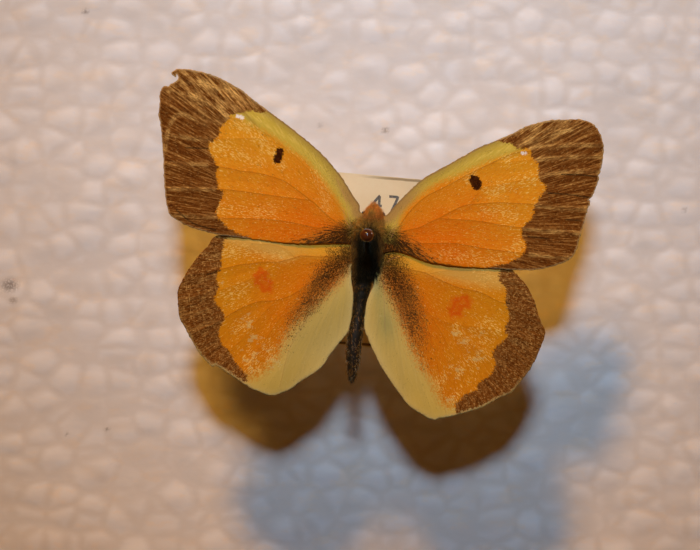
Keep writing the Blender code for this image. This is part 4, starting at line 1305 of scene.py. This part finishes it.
def labelPlace(across, up, rise):
    # a place on the sheet, at this height over the middle of its thickness
    spin = math.radians(label["turn"])
    x = across - label["wide"] / 2
    z = up - label["high"] / 2
    middleX, middleZ = label["middle"]
    return np.stack([pinX + (middleX + x * math.cos(spin) - z * math.sin(spin)) * mm,
                     labelY - (labelShape(across, up) + rise) * mm,
                     pinZ + (middleZ + x * math.sin(spin) + z * math.cos(spin)) * mm], -1)


def paperFinish():
    shop = Shop("labelPaper")
    place = shop.place()
    across = shop.attribute("across")
    up = shop.attribute("up")
    fibre = shop.noise(place, 3.0, 4.0, 0.65)
    stain = shop.noise(place, 0.22, 3.0)
    # a dark line along the edges, faded on the left and darkest at the foot
    edge = shop.attribute("edge") + shop.noise(place, 0.8, 2.0).sway(0.12)
    line = (edge - 0.22).maths("ABSOLUTE").near(0.09, 0.20) * 0.85
    faded = shop.noise(place, 0.25, 2.0).between(0.35, 0.6)
    foot = up.near(0.8, 1.6)
    line = line * (across.between(4.5, 9.5) * faded.most(up.between(18.0, 19.0)) * 0.85).most(foot)
    colour = shop.layers((0.82, 0.73, 0.51), (stain.between(0.3, 0.7), (0.77, 0.66, 0.43)),
                         (fibre.between(0.4, 0.75) * 0.25, (0.78, 0.62, 0.40)),
                         (line, shop.mix(foot, (0.22, 0.155, 0.065), (0.07, 0.03, 0.012))))
    return shop.finish(colour=colour, roughness=0.7, specular=0.2,
                       normal=shop.bump(fibre, 0.2, 0.00003))


def inkFinish():
    shop = Shop("labelInk")
    uneven = shop.noise(shop.place(), 5.0, 3.0, 0.7)
    colour = shop.mix(uneven.between(0.35, 0.65), (0.075, 0.08, 0.085), (0.20, 0.19, 0.16))
    return shop.finish(colour=colour, roughness=0.6, specular=0.2)


def labelSheet():
    # the paper: its points as rows of across, up and rise, and its faces
    half = label["thickness"] / 2
    columns = np.linspace(0, label["wide"], int(label["wide"] * label["steps"]) + 1)
    rows = np.linspace(0, label["high"], int(label["high"] * label["steps"]) + 1)
    across, up = [values.ravel() for values in np.meshgrid(columns, rows)]
    count = len(across)
    points = np.vstack([np.stack([across, up, np.full(count, rise)], 1) for rise in (half, -half)])
    quads, border = gridFaces(np.arange(count).reshape(len(rows), len(columns)))
    faces = quads + [tuple(count + k for k in q[::-1]) for q in quads]
    for k in range(len(border)):
        a, b = border[k], border[(k + 1) % len(border)]
        faces.append((b, a, count + a, count + b))
    return points, faces


def digitBar(sign, startAcross, startUp, first):
    # one digit as a thin flat bar that lies on the sheet; first is the number of its first point
    tall = label["digitHeight"]
    stroke = digitStrokes[sign]
    path = smoothPath(stroke, 4) if sign in "268" else evenPath(np.array(stroke), 0.1)
    path = path * tall + np.array([startAcross, startUp])
    lean = np.gradient(path, axis=0)
    lean /= np.maximum(np.hypot(*lean.T), 1e-9)[:, None]
    side = np.stack([-lean[:, 1], lean[:, 0]], 1) * (label["digitLine"] / 2)
    n = len(path)
    top, under = label["thickness"] / 2 + 0.012, label["thickness"] / 2 - 0.01
    corners = ((path + side, top), (path - side, top), (path - side, under), (path + side, under))
    points = np.vstack([np.column_stack([ring, np.full(n, rise)]) for ring, rise in corners])
    faces = []
    for k in range(n - 1):
        for row in range(4):
            a = first + row * n + k
            b = first + ((row + 1) % 4) * n + k
            faces.append((a, b, b + 1, a + 1))
    faces.append(tuple(first + row * n for row in range(4))[::-1])
    faces.append(tuple(first + row * n + n - 1 for row in range(4)))
    return points, faces


def makeLabel():
    points, faces = labelSheet()
    sheetPoints, sheetFaces = len(points), len(faces)
    for text, startAcross, startUp in label["rows"]:
        pen = startAcross
        for sign in text:
            if sign != " ":
                bar, barFaces = digitBar(sign, pen, startUp, len(points))
                points = np.vstack([points, bar])
                faces += barFaces
            pen += (label["spaceGap"] if sign == " " else label["digitGap"]) * label["digitHeight"]
    across, up, rise = points.T
    made = meshObject("labelSheet", labelPlace(across, up, rise), faces, paperFinish(), True, 40)
    made.data.materials.append(inkFinish())
    edge = np.minimum(np.minimum(across, label["wide"] - across), np.minimum(up, label["high"] - up))
    edge[sheetPoints:] = 3.0
    for name, values in (("across", across), ("up", up), ("edge", edge)):
        setAttribute(made, name, values)
    inked = (np.arange(len(faces)) >= sheetFaces).astype(np.int32)
    made.data.polygons.foreach_set("material_index", inked)
    fixNormals(made)
    finishPiece(made, "paper", "data_label")


makeLabel()
print("label made")


# The body, in mm from the pin: x to the right, y back towards the foam, z up

body = {
    # z, x, y, half width, half depth
    "thorax": [(1.75, 0.35, 0.75, 0.05, 0.05), (1.62, 0.33, 0.75, 0.75, 0.8),
               (1.3, 0.28, 0.75, 1.15, 1.3), (0.7, 0.22, 0.8, 1.45, 1.75),
               (-0.2, 0.14, 0.8, 1.60, 2.05), (-1.3, 0.08, 0.8, 1.62, 2.1),
               (-2.3, 0.03, 0.8, 1.52, 1.95), (-3.2, -0.04, 0.8, 1.35, 1.6),
               (-3.9, -0.10, 0.8, 1.10, 1.25), (-4.3, -0.13, 0.8, 0.75, 0.8),
               (-4.42, -0.15, 0.8, 0.05, 0.05)],
    "abdomen": [(-4.75, -0.15, 0.55), (-5.4, -0.38, 0.90), (-6.6, -0.58, 0.86), (-7.7, -0.74, 0.76),
                (-9.6, -1.02, 0.76), (-11.6, -1.36, 0.91), (-13.2, -1.50, 0.90), (-14.4, -1.55, 0.75),
                (-15.7, -1.62, 0.50), (-16.35, -1.66, 0.28), (-16.6, -1.68, 0.10)],
    "abdomenDepth": 0.9,
    "rings": [-6.2, -7.6, -9.1, -10.6, -12.1, -13.5, -14.8, -15.8],
    "head": (0.78, 0.80, 2.32),
    "headHalf": (1.15, 1.15, 0.80),
    "eyes": [(-0.22, 0.95, 2.38), (1.74, 0.95, 2.30)],
    "eyeSize": (0.44, 0.66, 0.56),
}


def place3(points):
    return np.asarray(points, float) * mm + np.array([pinX, wingY, pinZ])


def skinObject(name, points, rows, sides, material):
    # a closed smooth skin through rings of points, given in mm from the pin
    made = meshObject(name, place3(points), ringFaces(rows, sides), material)
    fixNormals(made)
    made.data.shade_smooth()
    return made


def loft(name, stations, sides, material, squareness=2.0, shape=None):
    # a closed skin through ellipses given as z, x, y, half width, half depth
    angles = np.linspace(0, 2 * math.pi, sides, endpoint=False)
    power = 2.0 / squareness
    cos = np.sign(np.cos(angles)) * np.abs(np.cos(angles)) ** power
    sin = np.sign(np.sin(angles)) * np.abs(np.sin(angles)) ** power
    rings = []
    for z, x, y, wide, deep in stations:
        swell = np.ones(sides) if shape is None else shape(z, angles)
        rings.append(np.stack([x + wide * cos * swell, y + deep * sin * swell, np.full(sides, z)], 1))
    return skinObject(name, np.vstack(rings), len(rings), sides, material)


def ball(name, centre, half, material, rows=24, sides=32):
    # an egg shape; its first and last rings are small, not points
    stations = []
    for k in range(rows + 1):
        angle = math.pi * min(max(k, 0.15), rows - 0.15) / rows
        stations.append((centre[2] + half[2] * math.cos(angle), centre[0], centre[1],
                         half[0] * math.sin(angle), half[1] * math.sin(angle)))
    return loft(name, stations, sides, material)


def tube(name, path, radii, sides, material):
    # a round tube along a path of points, closed at both ends
    path = np.asarray(path, float)
    along = np.gradient(path, axis=0)
    along /= np.linalg.norm(along, axis=1)[:, None]
    across = np.cross(along[0], (0.3, 0.2, 0.93))
    points = []
    for k in range(len(path)):
        across = across - along[k] * (across @ along[k])
        across /= np.linalg.norm(across)
        other = np.cross(along[k], across)
        for side in range(sides):
            angle = 2 * math.pi * side / sides
            points.append(path[k] + radii[k] * (math.cos(angle) * across + math.sin(angle) * other))
    return skinObject(name, points, len(path), sides, material)


def joined(name, parts):
    # several meshes as one piece, keeping their materials
    bpy.ops.object.select_all(action="DESELECT")
    for part in parts:
        part.select_set(True)
    bpy.context.view_layer.objects.active = parts[0]
    bpy.ops.object.join()
    parts[0].name = name
    parts[0].data.name = name
    return parts[0]


def skinFinish(name, colour, second, rough, shine):
    shop = Shop(name)
    place = shop.place()
    mottled = shop.noise(place, 2.5, 3.0, 0.6)
    tone = shop.mix(mottled.between(0.35, 0.7), colour, second)
    pits = shop.noise(place, 14.0, 2.0)
    return shop.finish(colour=tone, roughness=mottled.between(0.3, 0.7, rough, rough + 0.15),
                       specular=shine, normal=shop.bump(pits, 0.3, 0.00002))


def eyeFinish():
    shop = Shop("eye")
    facets = shop.cells(shop.place(), 22.0, out="Distance")
    patch = shop.noise(shop.place(), 1.4, 2.0)
    colour = shop.mix(patch.between(0.35, 0.65), (0.012, 0.009, 0.008), (0.06, 0.03, 0.012))
    return shop.finish(colour=colour, roughness=0.16, specular=0.6,
                       normal=shop.bump(facets, 0.3, 0.00002))


def makeThorax():
    # the back of the thorax has a shallow furrow down the middle and a seam before its last lobe
    def lobes(z, angles):
        facing = np.clip(-np.sin(angles), 0, 1)
        furrow = 0.05 * np.exp(-(np.cos(angles) / 0.18) ** 2) * facing
        seam = 0.06 * math.exp(-((z + 2.75) / 0.16) ** 2) * facing
        return 1 - furrow - seam

    skin = skinFinish("thoraxSkin", (0.008, 0.007, 0.004), (0.02, 0.016, 0.009), 0.35, 0.3)
    made = loft("thoraxSkin", smoothPath(body["thorax"], 4), 64, skin, 2.1, lobes)
    return finishPiece(made, "insect_body", "thorax")


def makeHead():
    # a ball, two eyes, and the two palps with the coiled tongue between them
    skin = skinFinish("headSkin", (0.42, 0.18, 0.035), (0.24, 0.10, 0.022), 0.55, 0.2)
    parts = [ball("headBall", body["head"], body["headHalf"], skin)]
    for centre in body["eyes"]:
        parts.append(ball("eye", centre, body["eyeSize"], eyeFinish(), 20, 28))
    for side in (-1, 1):
        palp = [(0.80 + side * 0.34, 0.8, 2.75), (0.84 + side * 0.26, 0.65, 3.15),
                (0.86 + side * 0.12, 0.7, 3.52)]
        parts.append(tube("palp", smoothPath(palp, 5), np.linspace(0.34, 0.07, 11), 12, skin))
    coil = []
    for k in range(60):
        angle = k * 0.32
        reach = 0.52 - 0.0075 * k
        coil.append((0.80, 1.95 + reach * math.sin(angle), 2.75 + reach * math.cos(angle)))
    parts.append(tube("tongue", coil, np.full(60, 0.055), 8, skin))
    return finishPiece(joined("headSkin", parts), "insect_body", "head")


def makeAbdomen():
    # each ring ends in a shallow groove
    stations = []
    for z, x, half in smoothPath(body["abdomen"], 8):
        groove = sum(math.exp(-((z - ring) / 0.10) ** 2) for ring in body["rings"])
        plump = half * (1 - 0.09 * groove)
        stations.append((z, x, body["abdomenDepth"], plump, plump * 0.95))
    skin = skinFinish("abdomenSkin", (0.006, 0.005, 0.003), (0.016, 0.013, 0.007), 0.5, 0.25)
    return finishPiece(loft("abdomenSkin", stations, 48, skin), "insect_body", "abdomen")


thorax = makeThorax()
head = makeHead()
abdomen = makeAbdomen()
print("body made")


# The hair of the body

hair = {
    # hairs on a square millimetre, length in mm, and how far they stand up and stray
    "thoraxHair": {"density": 120, "length": 1.05, "rise": 0.42, "spread": 0.42, "seed": 5},
    "headHair": {"density": 300, "length": 0.58, "rise": 0.6, "spread": 0.34, "seed": 7},
    "abdomenHair": {"density": 155, "length": 0.26, "rise": 0.40, "spread": 0.60, "seed": 9},
}
hairColours = [
    (0.0, (0.007, 0.008, 0.0025)),    # black core
    (0.25, (0.30, 0.165, 0.040)),     # olive brown sides
    (0.5, (0.80, 0.42, 0.070)),       # collar
    (0.75, (0.92, 0.36, 0.060)),      # reddish brown of the head
    (1.0, (0.90, 0.82, 0.60)),        # cream
]


def hairFinish():
    shop = Shop("bodyHair")
    hue = shop.attribute("hue")
    tone = shop.attribute("tone")
    colour = shop.node("ShaderNodeValToRGB", {"stops": hairColours}, [hue])
    clump = shop.noise(shop.place((4.2, 4.2, 1.5)), 1.0, 2.0, 0.6)
    darker = (clump.between(0.56, 0.42) * 0.62 + tone * 0.3).least(0.9) * hue.between(0.9, 0.1, 0.3, 1.0)
    glint = clump.between(0.58, 0.70) * tone.between(0.3, 0.8)
    colour = shop.layers(colour, (darker, (0.005, 0.005, 0.002)), (glint * 0.10, (0.55, 0.42, 0.22)))
    tip = shop.mix(0.5, colour, (0.8, 0.6, 0.35), "SCREEN")
    colour = shop.mix(shop.attribute("along").between(0.5, 1.0) * 0.12, colour, tip)
    return shop.finish(colour=colour, roughness=0.6, specular=0.10)


def hairBlank():
    # one three-sided hair, a unit long, bending towards +X
    verts = []
    along = []
    for t in np.linspace(0, 1, 5)[:-1]:
        radius = 0.022 * (1 - 0.75 * t)
        for k in range(3):
            angle = 2 * math.pi * k / 3
            verts.append((0.45 * t * t + radius * math.cos(angle), radius * math.sin(angle),
                          t - 0.12 * t * t))
            along.append(t)
    verts.append((0.45, 0, 0.88))
    along.append(1.0)
    faces = [(2, 1, 0)]
    for row in range(3):
        for k in range(3):
            after = (k + 1) % 3
            faces.append((row * 3 + k, row * 3 + after, row * 3 + 3 + after, row * 3 + 3 + k))
    for k in range(3):
        faces.append((9 + k, 9 + (k + 1) % 3, 12))
    made = meshObject("hairBlank", verts, faces)
    setAttribute(made, "along", along)
    return made


def hairTree():
    # scatters hairs over a surface and combs them along the comb attribute
    tree = Tree("hair", Density="Float", Length="Float", Rise="Float", Spread="Float", Seed="Int",
                Hair="Object", Material="Material")
    given = tree.given
    density = tree.maths("MULTIPLY", tree.named("thick"), given["Density"])
    spots = tree.node("GeometryNodeDistributePointsOnFaces",
                      {"Mesh": given["Geometry"], "Density": density, "Seed": given["Seed"]}, None,
                      distribute_method="RANDOM")
    stray = tree.node("FunctionNodeRandomValue", {0: (-1, -1, -1), 1: (1, 1, 1), "Seed": given["Seed"]},
                      data_type="FLOAT_VECTOR")
    comb = tree.vector("ADD", tree.named("comb", "FLOAT_VECTOR"), tree.scaled(stray, given["Spread"]))
    way = tree.vector("ADD", tree.scaled(spots["Normal"], given["Rise"]), comb)
    upright = tree.node("FunctionNodeAlignRotationToVector", {"Vector": way}, axis="Z")
    combed = tree.node("FunctionNodeAlignRotationToVector", {"Rotation": upright, "Vector": comb},
                       axis="X", pivot_axis="Z")
    vary = tree.node("FunctionNodeRandomValue", {2: 0.6, 3: 1.25, "Seed": 3}, 1, data_type="FLOAT")
    reach = tree.maths("MULTIPLY", tree.maths("MULTIPLY", vary, given["Length"]), tree.named("long"))
    blank = tree.node("GeometryNodeObjectInfo", {0: given["Hair"]}, "Geometry")
    grown = tree.node("GeometryNodeInstanceOnPoints", {
        "Points": spots["Points"], "Instance": blank, "Rotation": combed, "Scale": reach})
    tone = tree.node("FunctionNodeRandomValue", {2: 0.0, 3: 1.0, "Seed": 8}, 1, data_type="FLOAT")
    return tree.close(tree.stored(grown, "tone", tone, "INSTANCE"))


hairGrowth = hairTree()
hairSeed = hairBlank()
hairMaterial = hairFinish()


def fromPin(obj):
    # the object's points in mm from the pin at the wings
    verts = np.empty(len(obj.data.vertices) * 3)
    obj.data.vertices.foreach_get("co", verts)
    return (verts.reshape(-1, 3) - np.array([pinX, wingY, pinZ])) / mm


def growHair(name, obj, thick, comb, long, hue):
    # thick and long are shares of the density and length, comb is the way that the hairs lie
    for label, values, kind in (("thick", thick, "FLOAT"), ("comb", comb, "FLOAT_VECTOR"),
                                ("long", long, "FLOAT"), ("hue", hue, "FLOAT")):
        setAttribute(obj, label, values, kind)
    h = hair[name]
    made = runTree(obj, hairGrowth, {
        "Density": h["density"] * 1e6, "Length": h["length"] * mm, "Rise": h["rise"],
        "Spread": h["spread"], "Seed": h["seed"], "Hair": hairSeed, "Material": hairMaterial}, name)
    for owner, labels in ((obj, ("thick", "comb", "long", "hue")), (made, ("thick", "comb", "long"))):
        for label in labels:
            if label in owner.data.attributes:
                owner.data.attributes.remove(owner.data.attributes[label])
    finishPiece(made, "insect_body")
    print(name, len(made.data.polygons), "faces")


def growThoraxHair():
    x, y, z = fromPin(thorax).T
    side = np.clip(np.abs(x - 0.1) / 1.62, 0, 1)
    collar = ramp(z, -0.1, 1.1)
    tail = ramp(-z, 2.4, 4.2)
    middle = ramp(np.abs(x - 0.45), 0.75, 0.1) * ramp(z, 1.75, 0.9)
    hue = 0.34 * ramp(side, 0.55, 0.95) + collar * (0.40 + 0.15 * side) - 0.10 * middle
    comb = np.stack([(x - 0.15) * (0.16 * (0.4 + side) + 0.42 * collar), np.zeros(len(x)),
                     -0.9 + 1.25 * collar], 1)
    long = 0.80 + 0.12 * side + 0.5 * tail + 0.30 * collar
    growHair("thoraxHair", thorax, np.where(y < 1.2, 1.0, 0.35), comb, long, np.clip(hue, 0, 0.55))


def growHeadHair():
    # none on the eyes or the underside, and a little green on the crown
    places = fromPin(head)
    x, y, z = places.T
    bare = y > 1.9
    for centre in body["eyes"]:
        gap = (places - np.array(centre)) / (np.array(body["eyeSize"]) * 1.02)
        bare |= (gap ** 2).sum(1) < 1.0
    green = ramp(np.hypot(x - 0.6, z - 2.45), 0.55, 0.1)
    hue = 0.72 - 0.36 * green * (y < 0.6)
    comb = np.stack([(0.85 - x) * 0.30 * ramp(z, 2.2, 3.2) + (x - 0.8) * 0.30 * ramp(z, 2.4, 1.6),
                     np.full(len(x), -0.1), 0.30 + 0.55 * ramp(z, 2.0, 3.2)], 1)
    growHair("headHair", head, np.where(bare, 0.0, 1.0), comb, np.ones(len(x)), hue)


def growAbdomenHair():
    # pale flecks along the sides and by the tail
    x, y, z = fromPin(abdomen).T
    middle = np.interp(-z, [-s[0] for s in body["abdomen"]], [s[1] for s in body["abdomen"]])
    side = (x - middle) / 0.95
    outer = np.abs(side)
    rough = np.random.default_rng(11).random(len(x))
    pale = 0.75 * ramp(-z, 10.0, 12.5) * ramp(outer, 0.45, 0.95)
    brown = ramp(-z, 6.5, 8.5) * ramp(-z, 11.5, 9.5)
    speck = (rough > 0.80 - 0.25 * ramp(outer, 0.3, 0.9)) * (0.3 + 0.7 * ramp(-z, 7.5, 10.0))
    hue = np.clip(0.01 + 0.05 * brown + pale * rough ** 2 + speck, 0, 1)
    comb = np.stack([side * 0.15, np.zeros(len(x)), np.full(len(x), -1.0)], 1)
    long = 1.0 + 0.5 * ramp(-z, 13.0, 15.6) + 0.9 * ramp(z, -7.0, -5.0)
    growHair("abdomenHair", abdomen, np.where(y < 1.7, 1.0, 0.4), comb, long, hue)


growThoraxHair()
growHeadHair()
growAbdomenHair()
bpy.data.objects.remove(hairSeed, do_unlink=True)
print("hair grown")


# The legs, folded under the body: hip, knee, ankle and toe, in mm from the pin

legs = {
    "front": [(0.7, 2.8, 0.6), (1.5, 4.0, 1.9), (1.2, 4.6, -0.8), (0.9, 4.4, -3.0)],
    "middle": [(0.9, 3.15, -1.2), (2.4, 4.4, -0.6), (1.9, 5.0, -3.6), (1.4, 4.7, -6.0)],
    "hind": [(0.9, 3.05, -2.8), (2.7, 3.9, -3.2), (2.3, 4.4, -7.0), (1.7, 4.2, -9.6)],
}
limb = {
    "thigh": (0.13, 0.15, 8),     # radius at its start and end, and rings
    "shin": (0.11, 0.085, 12),
    "bulge": 0.02,
    "footJoints": 5,
    "foot": (0.07, 0.05),
    "knuckle": 0.018,
    "tip": 0.008,                 # of a claw or a spur
    # how far along the limb each point of a claw or a spur is, then how far aside and back
    "claw": [(-0.02, 0, 0), (0.10, 0.07, 0.02), (0.20, 0.08, 0.10)],
    "spur": [(-0.1, 0, 0), (0.12, 0.10, -0.04), (0.30, 0.16, -0.06)],
}


def barbs(name, base, way, thick, material):
    # a pair of short curved points
    made = []
    for turn in (-1, 1):
        points = [base + along * way + np.array([turn * aside, back, 0])
                  for along, aside, back in limb[name]]
        radii = np.linspace(thick, limb["tip"], 7)
        made.append(tube(name, smoothPath(points, 3), radii, 6, material))
    return made


def makeLeg(name, points, side, material):
    hip, knee, ankle, toe = [np.array([side * x, y, z]) for x, y, z in points]
    path = []
    radii = []
    for start, end, (thickStart, thickEnd, rings) in ((hip, knee, limb["thigh"]),
                                                      (knee, ankle, limb["shin"])):
        for t in np.linspace(0, 1, rings, endpoint=False):
            path.append(start + (end - start) * t)
            radii.append(thickStart + (thickEnd - thickStart) * t + limb["bulge"] * math.sin(math.pi * t))
    footStart, footEnd = limb["foot"]
    for joint in range(limb["footJoints"]):
        for t, knuckle in ((0.0, 0), (0.35, 0), (0.8, limb["knuckle"])):
            k = (joint + t) / limb["footJoints"]
            path.append(ankle + (toe - ankle) * k)
            radii.append(footStart + (footEnd - footStart) * k + knuckle)
    path.append(toe)
    radii.append(0.04)
    parts = [tube("leg", path, radii, 12, material)]
    parts += barbs("claw", toe, (toe - ankle) / np.linalg.norm(toe - ankle), 0.025, material)
    parts += barbs("spur", ankle, (ankle - knee) / np.linalg.norm(ankle - knee), 0.03, material)
    finishPiece(joined(name + "_limb", parts), "insect_body", name)


legSkin = skinFinish("legSkin", (0.16, 0.085, 0.03), (0.30, 0.17, 0.06), 0.45, 0.3)
for pair, points in legs.items():
    for sideName, side in (("left", -1), ("right", 1)):
        makeLeg("leg_%s_%s" % (pair, sideName), points, side, legSkin)
print("legs made")
